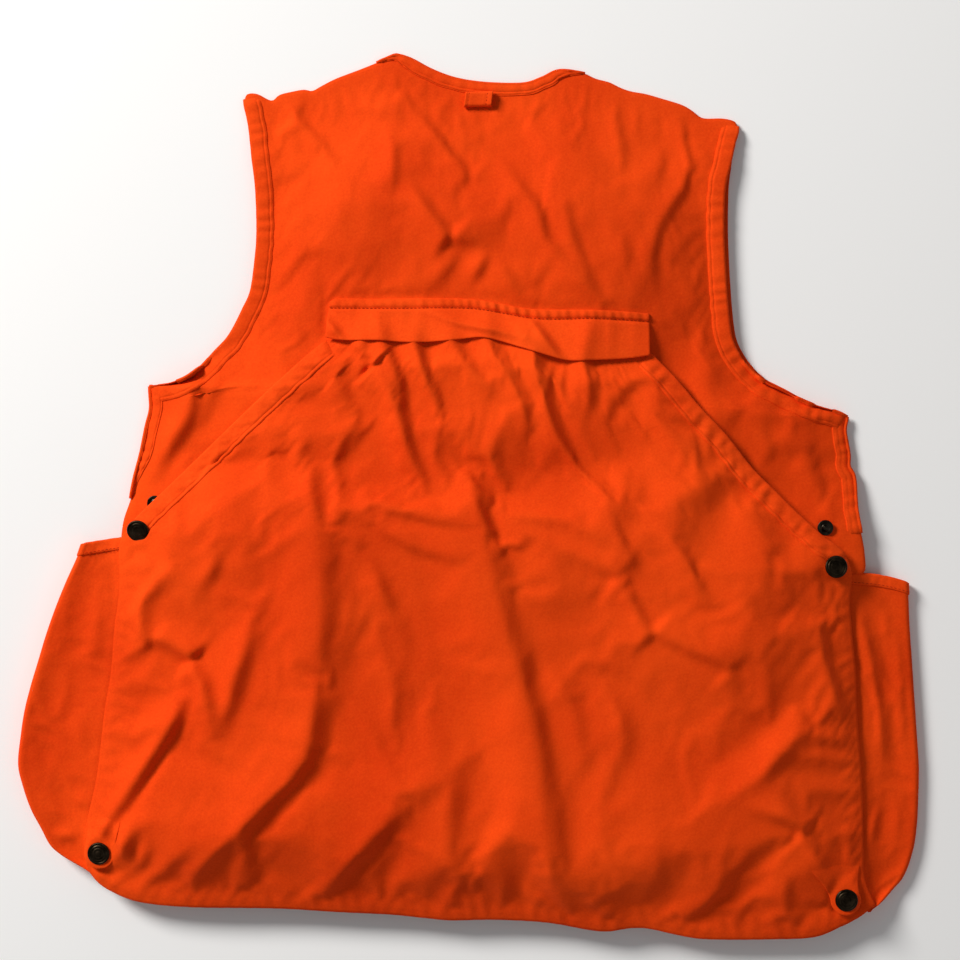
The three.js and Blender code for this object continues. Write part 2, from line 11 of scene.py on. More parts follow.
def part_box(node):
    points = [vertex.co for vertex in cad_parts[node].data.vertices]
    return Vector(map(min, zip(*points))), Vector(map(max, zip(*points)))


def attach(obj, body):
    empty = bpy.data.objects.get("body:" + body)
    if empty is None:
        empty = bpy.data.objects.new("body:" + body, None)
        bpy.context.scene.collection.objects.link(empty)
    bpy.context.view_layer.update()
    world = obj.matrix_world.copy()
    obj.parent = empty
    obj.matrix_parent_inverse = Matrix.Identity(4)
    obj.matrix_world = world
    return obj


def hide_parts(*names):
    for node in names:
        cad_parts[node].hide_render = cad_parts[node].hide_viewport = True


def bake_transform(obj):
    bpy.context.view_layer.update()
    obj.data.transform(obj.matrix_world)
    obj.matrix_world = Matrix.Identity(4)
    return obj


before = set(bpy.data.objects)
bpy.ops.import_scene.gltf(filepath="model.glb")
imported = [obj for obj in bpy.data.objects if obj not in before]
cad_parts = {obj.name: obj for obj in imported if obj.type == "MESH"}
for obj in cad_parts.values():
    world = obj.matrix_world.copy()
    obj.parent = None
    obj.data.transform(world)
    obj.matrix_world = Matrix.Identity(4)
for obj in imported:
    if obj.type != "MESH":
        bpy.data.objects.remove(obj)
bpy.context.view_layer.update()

MM = 0.001

# ---- Heights of the layers, as in the frame ----
CLOTH = 1.2
LAYER_GAP = 1.2
FRONT_LIFT = 11.0  # the front panels at the hem, where they lie on the pockets
CENTRE_X = 18.0  # the closed zip
BODY_RISE_CHEST, BODY_RISE_HEM = 20.0, 10.0  # how far the back stands off the fronts
ARMHOLE_GAP = 5.0
POUCH_RISE, MOUTH_RISE = 12.0, 5.0
POCKET_HEIGHT = 16.0
TOWARDS_LIGHT = np.array([-0.75, 0.66])  # the folds' steep sides face away from it
RELIEF = 1.25  # how strong the folds drawn on the back and the pouch are

# ---- Outlines, from the hem upwards or from the wearer's left to the right ----
LEFT_SEAM = [
    (-296, -286), (-299, -262), (-290, -220), (-284, -170), (-279, -140), (-276, -105), (-272, -75),
    (-272, -38),
]
RIGHT_SEAM = [
    (313, -318), (311, -285), (308, -230), (304, -170), (303, -140), (300, -110), (298, -85), (298, -62),
]
LEFT_FLANK = [
    (-272, -38), (-270, -20), (-265, -3), (-262, 15), (-257, 35), (-253, 55), (-250, 68), (-251, 85),
]
RIGHT_FLANK = [
    (298, -62), (305, -63), (311, -60), (310.5, -45), (308, -30), (305, -12), (304, 13), (300, 22),
    (300, 32), (297, 50), (299, 61),
]
LEFT_ARMHOLE = [
    (-251, 85), (-240, 86), (-230, 88), (-220, 92), (-210, 100), (-200, 111), (-187, 125), (-175, 148),
    (-170, 160), (-167, 180), (-165, 205), (-166, 240), (-169, 265), (-172, 290), (-175.5, 306),
    (-176.3, 311.5),
]
RIGHT_ARMHOLE = [
    (299, 61), (290, 65), (275, 69), (260, 75), (245, 82), (233, 88), (220, 100), (212, 111), (206, 125),
    (203, 150), (201, 180), (200, 210), (201, 240), (206, 262), (209.5, 277), (212, 285), (212.6, 290),
]
SHOULDER_LEFT = [
    (-176.3, 311.5), (-174.8, 315.3), (-170, 316.3), (-165, 315.2), (-155, 310.5), (-149, 315),
    (-139, 317.6), (-129.6, 319.2), (-123, 318.2), (-116, 321.9), (-104, 328), (-84, 335.6), (-64, 343.7),
    (-57, 346.5),
]
NECK = [
    (-57, 346.5), (-45, 343), (-30, 335), (-15, 329), (0, 325.5), (20, 323.5), (44, 323.5), (58, 328),
    (72, 334), (92, 332),
]
SHOULDER_RIGHT = [
    (92, 332), (101, 327.8), (111.5, 325), (119.6, 321), (128, 318), (140, 315.8), (152, 312.4),
    (168.5, 307.3), (177, 302.5), (185, 296.8), (199, 296.5), (206, 295.6), (211, 293.6), (212.6, 290),
]
BODY_HEM = [
    (-292, -288), (-255, -308), (-170, -315), (-60, -320), (40, -325), (150, -332), (250, -336),
    (309, -316),
]
POUCH_LEFT_LOW = [(-297, -293), (-299.5, -280), (-299, -262), *LEFT_SEAM[2:-1], (-272, -45), (-270.5, -33)]
POUCH_LEFT_HIGH = [
    (-270.5, -33), (-259, -20), (-240, -1.5), (-198, 38.5), (-160, 74.5), (-122, 109), (-110, 119),
]
POUCH_RIGHT_LOW = [
    (318, -321), (312, -308), (309, -296), (309, -285), *RIGHT_SEAM[2:-1], (299, -72), (299, -60),
]
POUCH_RIGHT_HIGH = [
    (299, -60), (294, -48), (285, -40), (275, -33), (255, -15), (240, 0), (220, 20), (200, 45), (180, 66),
    (160, 90), (141, 110),
]
POUCH_HEM = [
    (-297, -293), (-288, -304), (-273, -312.5), (-254, -318.5), (-215, -322), (-150, -323), (-100, -326),
    (-60, -328), (-30, -331), (-13, -332.5), (20, -332), (60, -334), (95, -340), (110, -341), (127, -338.5),
    (142, -339), (165, -344), (187, -347), (235, -347), (270, -345.5), (290, -338), (306, -330),
    (318, -321),
]
FLAP_FREE_EDGE = [
    (-111, 122.5), (-100, 120), (-70, 119.5), (-40, 118), (-10, 120), (8, 122), (22, 120), (45, 113),
    (75, 104.5), (100, 104.5), (125, 106), (141, 108.5),
]
FLAP_STITCHES = [
    (-108, 145), (-60, 144.5), (-20, 145), (5, 144.5), (30, 140.5), (55, 136.5), (100, 136.5), (141, 134.5),
]
BAND_TOP = [
    (-107, 150.5), (-101, 153), (-75, 152.5), (-40, 153), (0, 152.5), (22, 149.5), (50, 144.5),
    (100, 143.5), (141, 141),
]
LEFT_POCKET_EDGE = [
    (-296, -296), (-308, -290), (-320, -283), (-329, -275), (-336, -262), (-344, -247), (-350, -230),
    (-354, -212), (-352, -190), (-349, -170), (-344, -150), (-338, -130), (-332, -110), (-325, -90),
    (-317, -70), (-308, -50), (-304, -39),
]
RIGHT_POCKET_EDGE = [
    (300, -333), (312, -327), (324, -321), (335, -311), (344, -300), (351, -280), (354, -260), (355, -240),
    (355.5, -215), (354, -190), (352, -160), (350, -130), (348, -100), (347, -70),
]


# ---- Curves ----
def smoothstep(x, low, high):
    """0 below low, 1 above high and a smooth rise between."""
    t = np.clip((np.asarray(x, float) - low) / (high - low), 0, 1)
    return t * t * (3 - 2 * t)


def path(points, step=3.0):
    """A smooth curve through the points (Catmull-Rom), resampled every step."""
    p = np.array(points, float)
    if len(p) > 2:
        ends = np.vstack([2 * p[0] - p[1], p, 2 * p[-1] - p[-2]])
        t = np.linspace(0, 1, 12, endpoint=False)[:, None]
        spans = [
            0.5 * (
                2 * b + (c - a) * t + (2 * a - 5 * b + 4 * c - d) * t**2 + (3 * b - a - 3 * c + d) * t**3
            )
            for a, b, c, d in zip(ends, ends[1:], ends[2:], ends[3:])
        ]
        p = np.vstack(spans + [p[-1:]])
    run = np.r_[0, np.cumsum(np.linalg.norm(np.diff(p, axis=0), axis=1))]
    s = np.linspace(0, run[-1], max(2, int(round(run[-1] / step)) + 1))
    return np.stack([np.interp(s, run, p[:, k]) for k in range(p.shape[1])], axis=1)


def length_of(line):
    return float(np.linalg.norm(np.diff(line, axis=0), axis=1).sum())


def along(line, t):
    """Points a share t of the way along a resampled line."""
    at = np.asarray(t, float) * (len(line) - 1)
    index = np.arange(len(line))
    return np.stack([np.interp(at, index, line[:, k]) for k in range(line.shape[1])], axis=-1)


def edge(pieces, bounds):
    """One side of a patch: several outlines, each covering its stretch of 0 to 1."""
    lines = [path(p, 1.5) for p in pieces]

    def at(t):
        t = np.asarray(t, float)
        out = np.zeros(t.shape + (2,))
        for line, low, high in zip(lines, bounds, bounds[1:]):
            here = (t >= low - 1e-9) & (t <= high + 1e-9)
            out[here] = along(line, (t[here] - low) / (high - low))
        return out

    return at


def coons(left, right, bottom, top, columns, rows):
    """X and Y of a grid of points between four edges; [column, row]."""
    u = np.linspace(0, 1, columns + 1)[:, None, None]
    v = np.linspace(0, 1, rows + 1)[None, :, None]
    west, east = left(v[0, :, 0])[None], right(v[0, :, 0])[None]
    south, north = bottom(u[:, 0, 0])[:, None], top(u[:, 0, 0])[:, None]
    corners = (
        (1 - u) * (1 - v) * south[0, 0] + u * (1 - v) * south[-1, 0]
        + (1 - u) * v * north[0, 0] + u * v * north[-1, 0]
    )
    grid = (1 - v) * south + v * north + (1 - u) * west + u * east - corners
    return grid[..., 0], grid[..., 1]


def near(x, y, line):
    """Each point's distance to a line, positive on its left, its share along it and the run there."""
    a, b = line[:-1], line[1:]
    d = b - a
    size = np.maximum((d**2).sum(1), 1e-9)
    px, py = x[:, None] - a[:, 0], y[:, None] - a[:, 1]
    t = np.clip((px * d[:, 0] + py * d[:, 1]) / size, 0, 1)
    gap = np.hypot(px - t * d[:, 0], py - t * d[:, 1])
    i = gap.argmin(1)
    row = np.arange(len(x))
    side = np.sign(d[i, 0] * py[row, i] - d[i, 1] * px[row, i])
    distance = gap[row, i] * np.where(side == 0, 1, side)
    return distance, (i + t[row, i]) / len(a), d[i] / np.sqrt(size[i])[:, None]


# ---- Heights ----
def reader(lines, into, out):
    """One coordinate of an outline as a function of the other: 0 is x and 1 is y."""
    p = np.vstack([path(line, 2) for line in lines])
    p = p[np.argsort(p[:, into])]
    return lambda value: np.interp(value, p[:, into], p[:, out])


left_body = reader([LEFT_SEAM, LEFT_FLANK, LEFT_ARMHOLE], 1, 0)
right_body = reader([RIGHT_SEAM, RIGHT_FLANK, RIGHT_ARMHOLE], 1, 0)
body_top = reader([SHOULDER_LEFT, NECK, SHOULDER_RIGHT], 0, 1)
body_hem = reader([POUCH_HEM], 0, 1)
pouch_left = reader([POUCH_LEFT_LOW, POUCH_LEFT_HIGH], 1, 0)
pouch_right = reader([POUCH_RIGHT_LOW, POUCH_RIGHT_HIGH], 1, 0)


def crown(x, y, left, right, power):
    """0 at both sides and 1 in the middle; a higher power keeps it high for longer."""
    share = np.clip((x - left(y)) / (right(y) - left(y)), 0, 1)
    return 1 - np.abs(2 * share - 1) ** power


def pocket_lift(y):
    """How far the pockets hold the front panels up."""
    return FRONT_LIFT * (1 - smoothstep(y, -40, 30))


def front_under(x, y):
    """The under side of the front panels; back_under and pouch_under are those of the layers above."""
    low = pocket_lift(y)
    ridge = np.exp(-(((x - CENTRE_X) / 60) ** 2)) * smoothstep(body_top(x) - y, 20, 120)
    return low + (FRONT_LIFT - low) * ridge


def back_under(x, y):
    """The back panel bulges off the fronts, most at the chest, and stands off them at the armholes."""
    rise = BODY_RISE_HEM + (BODY_RISE_CHEST - BODY_RISE_HEM) * smoothstep(y, -40, 60)
    full = rise * crown(x, y, left_body, right_body, 4.5) * smoothstep(body_top(x) - y, 0, 120)
    armhole = ARMHOLE_GAP * smoothstep(y, 90, 130) * (1 - smoothstep(y, 250, 300))
    return pocket_lift(y) + CLOTH + LAYER_GAP + np.maximum(full, armhole)


def pouch_under(x, y):
    """The pouch bulges off the back, most in its lower part."""
    rise = POUCH_RISE + (MOUTH_RISE - POUCH_RISE) * smoothstep(y, -40, 110)
    full = rise * crown(x, y, pouch_left, pouch_right, 4) * smoothstep(y - body_hem(x), 0, 70)
    return back_under(x, y) + CLOTH + 3 + 3 * smoothstep(y, -180, -30) + full


def hem_droop(x, y):
    """How far the slack layers sink towards the front panels along the bottom edge."""
    return 9.0 * crown(x, y, left_body, right_body, 3) * (1 - smoothstep(y - body_hem(x), -8, 60))


def softened(grid, times):
    """A grid of heights with its sharpest creases rounded."""
    for _ in range(times):
        for axis in (0, 1):
            place = np.arange(grid.shape[axis])
            ahead = np.take(grid, np.minimum(place + 1, place[-1]), axis)
            behind = np.take(grid, np.maximum(place - 1, 0), axis)
            grid = (2 * grid + ahead + behind) / 4
    return grid


def waves(x, y, size, seed, count=9):
    """Smooth irregular waves about size apart, from -1 to 1 or so."""
    draw = np.random.default_rng(seed)
    total = np.zeros_like(x, dtype=float)
    for _ in range(count):
        turn = draw.uniform(0, 2 * np.pi)
        phase = draw.uniform(0, 2 * np.pi)
        scale = size * draw.uniform(0.7, 1.6)
        total += np.sin(2 * np.pi * (x * np.cos(turn) + y * np.sin(turn)) / scale + phase)
    return total / math.sqrt(count)


def crumple(x, y, size, seed):
    """Creased waves: sharp little ridges between smooth hollows."""
    bend_x = x + 0.35 * size * waves(x, y, size * 2.2, seed + 1)
    bend_y = y + 0.35 * size * waves(x, y, size * 2.2, seed + 2)
    return 0.6 - np.abs(waves(bend_x, bend_y, size, seed))


def folds(x, y, strokes, relief=1.0):
    """Folds of cloth from strokes along their shaded sides: (points, height, lit width, shaded width)."""
    total = np.zeros_like(x)
    for points, height, lit, shaded in strokes:
        line = path(points, 5)
        reach = 2.6 * max(lit, shaded)
        low, high = line.min(0) - reach, line.max(0) + reach
        here = (x > low[0]) & (x < high[0]) & (y > low[1]) & (y < high[1])
        if not here.any():
            continue
        gap, share, run = near(x[here], y[here], line)
        facing = np.sign(-run[:, 1] * TOWARDS_LIGHT[0] + run[:, 0] * TOWARDS_LIGHT[1])
        off = gap * facing - 0.55 * shaded
        width = np.where(off > 0, lit, shaded) * 1.5
        share_off = np.clip((np.hypot(off, 1.6) - 1.6) / width, 0, 1)
        taper = float(np.clip(38 / length_of(line), 0.2, 0.5))
        ends = smoothstep(share, -0.02, taper) * (1 - smoothstep(share, 1 - taper, 1.02))
        total[here] += relief * height * (0.06 + 0.94 * ends) * (1 - share_off) ** 1.7
    return total


# ---- Folds, where the photo shows them ----
BACK_FOLDS = [
    ([(-156, 313), (-138, 300), (-120, 282), (-98, 254)], 4.2, 14, 4),
    ([(-131, 302), (-134, 270), (-128, 245)], 1.6, 10, 5),
    ([(-64, 300), (-57, 270), (-57, 240), (-61, 216)], 2.6, 12, 4),
    ([(-44, 306), (-28, 286), (-11, 265), (5, 246), (24, 240)], 3.4, 16, 4),
    ([(-100, 312), (-76, 300), (-56, 296), (-40, 302)], 1.8, 12, 5),
    ([(-47, 248), (-35, 229), (-22, 212), (-10, 198), (4, 194), (19, 190)], 5.0, 18, 5),
    ([(16, 193), (13, 180), (0, 160)], 3.4, 9, 4),
    ([(-5, 192), (-14, 176), (-32, 158)], 2.0, 10, 4),
    ([(18, 190), (35, 166), (52, 149)], 2.8, 12, 4),
    ([(26, 264), (44, 237), (55, 222), (61, 201), (72, 186), (97, 161), (113, 145)], 3.6, 20, 5),
    ([(74, 244), (79, 215), (84, 195), (92, 177), (105, 151)], 3.0, 15, 5),
    ([(16, 178), (40, 168), (62, 150)], 1.6, 12, 6),
    (
        [(163, 312), (171, 278), (174, 255), (166, 234), (155, 218), (147, 200), (145, 177), (149, 152)],
        1.8, 9, 4,
    ),
    ([(158, 284), (152, 258), (143, 232)], 1.1, 8, 4),
    ([(122, 232), (136, 206), (140, 176), (134, 150)], 1.0, 9, 5),
    ([(188, 262), (192, 236), (184, 200)], 0.8, 9, 6),
    ([(118, 320), (119, 294), (123, 264), (118, 238)], 1.8, 10, 5),
    ([(112, 215), (124, 190), (126, 165)], 1.8, 12, 5),
    ([(-200, 112), (-210, 88), (-216, 62), (-228, 42), (-248, 8)], 5.2, 16, 6),
    ([(-190, 112), (-199, 78), (-214, 44)], 2.2, 8, 5),
    ([(-140, 215), (-120, 190), (-92, 178)], 1.4, 18, 9),
    ([(-150, 120), (-135, 90), (-140, 65)], 1.6, 16, 9),
    ([(-90, 245), (-95, 210), (-80, 182)], 1.2, 18, 8),
    ([(180, 130), (205, 80), (240, 50)], 2.2, 20, 11),
    ([(225, 60), (240, 40), (262, 32), (280, 10)], 2.4, 14, 8),
    ([(195, 105), (190, 80), (205, 55)], 1.6, 12, 7),
    ([(268, 45), (275, 15), (285, -15)], 1.8, 12, 7),
    ([(-250, 70), (-243, 40), (-252, 5)], 1.2, 8, 5),
    ([(30, 310), (55, 290), (70, 262)], 1.4, 18, 7),
    ([(-70, 320), (-52, 305), (-38, 312)], 1.0, 12, 7),
]

POUCH_FOLDS = [
    ([(-140, 132), (-96, 114), (-74, 100), (-60, 84), (-50, 62), (-42, 34), (-28, 0)], 5.6, 17, 6),
    ([(-124, 136), (-94, 113), (-74, 98), (-58, 78)], -3.6, 5, 5),
    ([(-80, 158), (-60, 110), (-50, 84), (-48, 58)], 5.0, 10, 5),
    ([(-50, 166), (-37, 112), (-29, 88), (-18, 58)], 6.0, 12, 5),
    ([(-84, 156), (-80, 116), (-84, 92)], 4.0, 7, 4),
    ([(-76, 62), (-98, 30), (-95, -5), (-105, -50)], 3.6, 14, 8),
    ([(-120, 100), (-100, 88), (-85, 60)], 2.4, 12, 6),
    ([(-121, 30), (-112, -20), (-108, -80), (-112, -140)], 6.0, 26, 10),
    ([(-140, 60), (-150, 20), (-140, -20)], 2.2, 18, 10),
    ([(-256, -44), (-238, -62)], 3.0, 12, 6),
    ([(-218, -58), (-240, -74), (-250, -92), (-244, -112), (-222, -122)], 5.0, 10, 8),
    ([(-250, -108), (-228, -120), (-210, -134), (-199, -156), (-194, -190)], 6.8, 14, 7),
    ([(-190, -35), (-195, -60), (-208, -78)], 2.8, 12, 6),
    ([(-160, -94), (-175, -140), (-192, -196)], 4.8, 18, 7),
    ([(-214, -150), (-236, -196), (-258, -234), (-282, -272)], 7.0, 18, 5),
    ([(-226, -186), (-252, -228), (-284, -276)], -5.0, 5, 4),
    ([(-276, -256), (-264, -268), (-262, -282), (-270, -294)], 4.0, 7, 4),
    ([(-112, -138), (-118, -190), (-128, -214), (-160, -247), (-190, -277), (-224, -316)], 6.5, 26, 10),
    ([(-40, -238), (-75, -270), (-100, -300), (-126, -321)], 4.2, 22, 9),
    ([(-200, -258), (-230, -290), (-255, -315)], 2.8, 14, 7),
    ([(-240, -250), (-262, -272), (-280, -300)], 2.2, 12, 6),
    ([(-256, -244), (-258, -262), (-266, -282)], 3.6, 8, 5),
    ([(-243, -262), (-250, -284), (-262, -300)], 2.6, 8, 4),
    ([(296, -250), (300, -275), (303, -300)], 2.2, 6, 4),
    (
        [(5, 52), (10, 0), (20, -52), (35, -110), (50, -160), (60, -212), (66, -262), (75, -300), (91, -331)],
        6.8, 34, 12,
    ),
    ([(48, 150), (58, 90), (70, 50), (88, 24), (108, 2), (134, -22)], 5.4, 18, 7),
    ([(-30, 156), (-6, 114), (8, 94), (30, 72)], 5.0, 12, 6),
    ([(2, 146), (30, 99), (44, 70), (50, 36)], 5.0, 13, 7),
    ([(78, 140), (92, 102), (96, 76), (90, 52)], 4.4, 12, 6),
    ([(30, 60), (22, 30), (34, 0)], 3.0, 14, 7),
    ([(-76, -50), (-66, -72), (-56, -96)], 3.6, 12, 5),
    ([(-80, 10), (-70, -10), (-42, -19), (8, -28)], 3.4, 12, 5),
    ([(-78, -24), (-40, -44), (6, -56)], 3.4, 13, 5),
    ([(-60, -110), (-52, -160), (-60, -200)], 2.8, 24, 12),
    ([(-20, 60), (-22, 30), (-8, 4)], 2.6, 12, 6),
    ([(98, -4), (112, -24), (124, -44), (134, -68)], 2.8, 14, 5),
    ([(148, -24), (164, -44), (178, -64), (188, -88)], 2.8, 14, 5),
    ([(96, -56), (118, -66), (140, -102), (166, -118), (198, -132), (210, -152)], 4.0, 18, 6),
    ([(90, -130), (120, -165), (128, -210)], 3.0, 22, 9),
    ([(60, -120), (84, -160), (95, -215)], 2.2, 16, 8),
    ([(271, -178), (240, -205), (212, -234)], 4.4, 18, 8),
    ([(206, -240), (228, -246), (254, -260), (272, -282), (290, -306)], 4.4, 16, 6),
    ([(222, -248), (250, -262), (270, -284), (284, -302)], -3.0, 5, 5),
    ([(274, -80), (280, -130), (293, -165), (300, -205)], 3.4, 16, 8),
    ([(250, -282), (247, -310), (260, -340)], 3.0, 14, 7),
    ([(200, -276), (194, -310), (168, -334)], 3.2, 18, 8),
    ([(140, -240), (150, -285), (136, -330)], 2.4, 22, 10),
    ([(100, 90), (120, 70), (150, 40)], 2.0, 16, 8),
    ([(120, 40), (150, 14), (190, -20)], 2.6, 22, 9),
    ([(196, 10), (225, -20), (255, -62)], 2.6, 20, 9),
    ([(200, -60), (230, -100), (262, -125)], 2.2, 22, 10),
    ([(-170, 30), (-176, -10), (-160, -50)], 1.6, 20, 10),
    ([(-215, 0), (-222, -22), (-212, -44)], 1.8, 12, 7),
    ([(-150, -230), (-168, -262), (-160, -310)], 2.0, 14, 8),
    ([(0, -200), (-10, -250), (0, -310)], 2.0, 24, 12),
    ([(20, -270), (32, -300), (30, -328)], 1.8, 12, 7),
]


# ---- The upper surfaces of the back and the pouch ----
def band_ditch(x, y):
    """The narrow dip in the back along the top of the flap's band and down its left end."""
    above = np.exp(-(((y - band_top(x) - 0.9) / 1.5) ** 2)) * smoothstep(x, -114, -106)
    above *= 1 - smoothstep(x, 140, 146)
    beside = np.exp(-(((x + 111.5) / 1.5) ** 2)) * smoothstep(y, 118, 124) * (1 - smoothstep(y, 148, 153))
    return 1.5 * np.maximum(above, beside)


def edge_fade(x, y):
    """1 inside the body and falling to 0 at its sides and top, where seams hold the cloth flat."""
    sides = np.minimum(x - left_body(y), right_body(y) - x)
    return smoothstep(np.minimum(sides, body_top(x) - y), -2, 26)


def back_over(x, y):
    """The back's upper surface before its simulation."""
    flat = back_under(x, y) + CLOTH - hem_droop(x, y) - band_ditch(x, y)
    wrinkles = (
        folds(x, y, BACK_FOLDS, RELIEF) + 0.55 * crumple(x, y, 62, 11) + 0.3 * crumple(x, y, 26, 14)
    )
    return flat + edge_fade(x, y) * wrinkles


def pouch_over(x, y):
    """The pouch's upper surface before its simulation."""
    flat = pouch_under(x, y) + CLOTH - hem_droop(x, y)
    sides = np.minimum(x - pouch_left(y), pouch_right(y) - x)
    held = smoothstep(np.minimum(sides, y - body_hem(x)), -6, 24)
    wrinkles = (
        folds(x, y, POUCH_FOLDS, RELIEF) + 1.1 * crumple(x, y, 75, 21) + 0.4 * crumple(x, y, 30, 24)
    )
    tucked = 6.0 * smoothstep(flap_free(x) - y, 22, -1) * smoothstep(y, 60, 95)
    roll = 2.2 * (1 - smoothstep(y - body_hem(x), -1, 5)) + 1.5 * (1 - smoothstep(sides, -1, 7)) * (y < -30)
    return flat + held * wrinkles - tucked - roll


flap_free = reader([FLAP_FREE_EDGE], 0, 1)
flap_seam = reader([FLAP_STITCHES], 0, 1)
band_top = reader([BAND_TOP], 0, 1)


# ---- Meshes ----
def new_object(name, verts, faces, material, smooth=True):
    """A mesh object; its faces are a list of tuples or an array."""
    faces = faces if isinstance(faces, list) else faces.tolist()
    mesh = bpy.data.meshes.new(name)
    mesh.from_pydata((np.asarray(verts) * MM).tolist(), [], faces)
    if smooth:
        mesh.polygons.foreach_set("use_smooth", [True] * len(mesh.polygons))
    mesh.update()
    obj = bpy.data.objects.new(name, mesh)
    bpy.context.scene.collection.objects.link(obj)
    obj.data.materials.append(material)
    return obj


def stand_in(obj, node, body="vest"):
    """The object takes the place of a CAD node and rides on that node's body."""
    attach(obj, body)
    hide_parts(node)


def normals_of(grid):
    """The direction out of the cloth at each point."""
    du = np.gradient(grid, axis=0)
    dv = np.gradient(grid, axis=1)
    n = np.cross(du, dv)
    return n / np.maximum(np.linalg.norm(n, axis=-1, keepdims=True), 1e-9)


def quads_of(index):
    """The faces between the points of a grid, given their numbers."""
    return np.stack([index[:-1, :-1], index[1:, :-1], index[1:, 1:], index[:-1, 1:]], -1).reshape(-1, 4)


def solid_sheet(name, grid, thickness, material):
    """A closed sheet of cloth from its upper surface, grid[column, row], with one loop rounding its rim."""
    n = normals_of(grid)
    columns, rows = grid.shape[:2]
    low = grid - n * thickness
    verts = [grid.reshape(-1, 3), low.reshape(-1, 3)]
    index = np.arange(columns * rows).reshape(columns, rows)
    under = index + columns * rows
    quads = [quads_of(index), quads_of(under)[:, [0, 3, 2, 1]]]
    ring = [(i, 0) for i in range(columns)] + [(columns - 1, j) for j in range(1, rows)]
    ring += [(i, rows - 1) for i in range(columns - 2, -1, -1)] + [(0, j) for j in range(rows - 2, 0, -1)]
    ci, cj = np.array(ring).T
    centre = (grid[ci, cj] + low[ci, cj]) / 2
    run = np.roll(centre, -1, 0) - np.roll(centre, 1, 0)
    out = np.cross(run, n[ci, cj])
    out /= np.maximum(np.linalg.norm(out, axis=1, keepdims=True), 1e-9)
    verts.append(centre + out * thickness * 0.42)
    first = 2 * columns * rows
    k = np.arange(len(ring))
    ahead = (k + 1) % len(ring)
    top, bottom = index[ci, cj], under[ci, cj]
    quads.append(np.stack([top[k], first + k, first + ahead, top[ahead]], -1))
    quads.append(np.stack([first + k, bottom[k], bottom[ahead], first + ahead], -1))
    return new_object(name, np.vstack(verts), np.vstack(quads), material)


def surface_reader(grid):
    """The height of a cloth's upper surface at any x and y, and at its nearest point beyond its edges."""
    columns, rows = grid.shape[:2]
    index = np.arange(columns * rows).reshape(columns, rows)
    tree = BVHTree.FromPolygons(grid.reshape(-1, 3).tolist(), quads_of(index).tolist())
    down = Vector((0, 0, -1))

    def at(x, y):
        x, y = np.broadcast_arrays(np.asarray(x, float), np.asarray(y, float))
        out = np.empty(x.shape)
        for place in np.ndindex(x.shape):
            hit = tree.ray_cast(Vector((x[place], y[place], 200.0)), down)[0]
            if hit is None:
                hit = tree.find_nearest(Vector((x[place], y[place], 20.0)))[0]
            out[place] = hit.z
        return out

    return at


def lathe(name, profile, sides, material, at, tilt=(0.0, 0.0)):
    """A turned piece: profile is (radius, height) from the axis below to the axis above."""
    angle = np.linspace(0, 2 * np.pi, sides, endpoint=False)
    rings, verts, faces = [], [], []
    for radius, height in profile:
        if radius < 1e-6:
            rings.append([len(verts)])
            verts.append((0, 0, height))
        else:
            rings.append(list(range(len(verts), len(verts) + sides)))
            verts += [(radius * np.cos(a), radius * np.sin(a), height) for a in angle]
    for low, high in zip(rings, rings[1:]):
        for i in range(sides):
            j = (i + 1) % sides
            if len(low) == 1:
                faces.append((low[0], high[j], high[i]))
            elif len(high) == 1:
                faces.append((low[i], low[j], high[0]))
            else:
                faces.append((low[i], low[j], high[j], high[i]))
    verts = np.array(verts)
    tx, ty = np.radians(tilt)
    about_x = np.array([[1, 0, 0], [0, np.cos(tx), -np.sin(tx)], [0, np.sin(tx), np.cos(tx)]])
    about_y = np.array([[np.cos(ty), 0, np.sin(ty)], [0, 1, 0], [-np.sin(ty), 0, np.cos(ty)]])
    return new_object(name, verts @ (about_x @ about_y).T + np.array(at), faces, material)


def stitches(name, line, over, body, pitch=3.1, size=2.2, width=0.55):
    """A row of stitches along a line, each a small bent capsule; over gives the cloth's height."""
    total = length_of(line)
    count = int(total / pitch)
    verts, faces = [], []
    shape = [(-0.5, 0.25), (-0.38, 0.8), (0, 1), (0.38, 0.8), (0.5, 0.25)]
    sides = 5
    for k in range(count):
        share = (k + 0.5) / count
        x, y = along(line, share)
        ahead, behind = along(line, min(share + 0.004, 1)), along(line, max(share - 0.004, 0))
        run = (ahead - behind) / max(np.linalg.norm(ahead - behind), 1e-9)
        z = float(over(np.array([x]), np.array([y]))[0])
        across = np.array([-run[1], run[0]])
        base = len(verts)
        for where, swell in shape:
            for i in range(sides):
                a = 2 * np.pi * i / sides
                side, rise = width / 2 * swell * np.cos(a), width / 2 * swell * np.sin(a)
                px, py = np.array([x, y]) + run * where * size + across * side
                verts.append((px, py, z + rise + 0.12 + 0.12 * (1 - (2 * where) ** 2)))
        for ring in range(len(shape) - 1):
            for i in range(sides):
                j = (i + 1) % sides
                a, b = base + ring * sides, base + (ring + 1) * sides
                faces.append((a + i, a + j, b + j, b + i))
        faces.append(tuple(base + i for i in range(sides - 1, -1, -1)))
        faces.append(tuple(base + (len(shape) - 1) * sides + i for i in range(sides)))
    obj = new_object(name, verts, faces, thread_with_painted_seam_shade)
    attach(obj, body)


# ---- Cloth simulation ----
EVERY = 2  # the simulation takes every second point of a sheet
FREEDOM = 0.985  # how far the freest points are let go
MOST_MOVED = 7.0


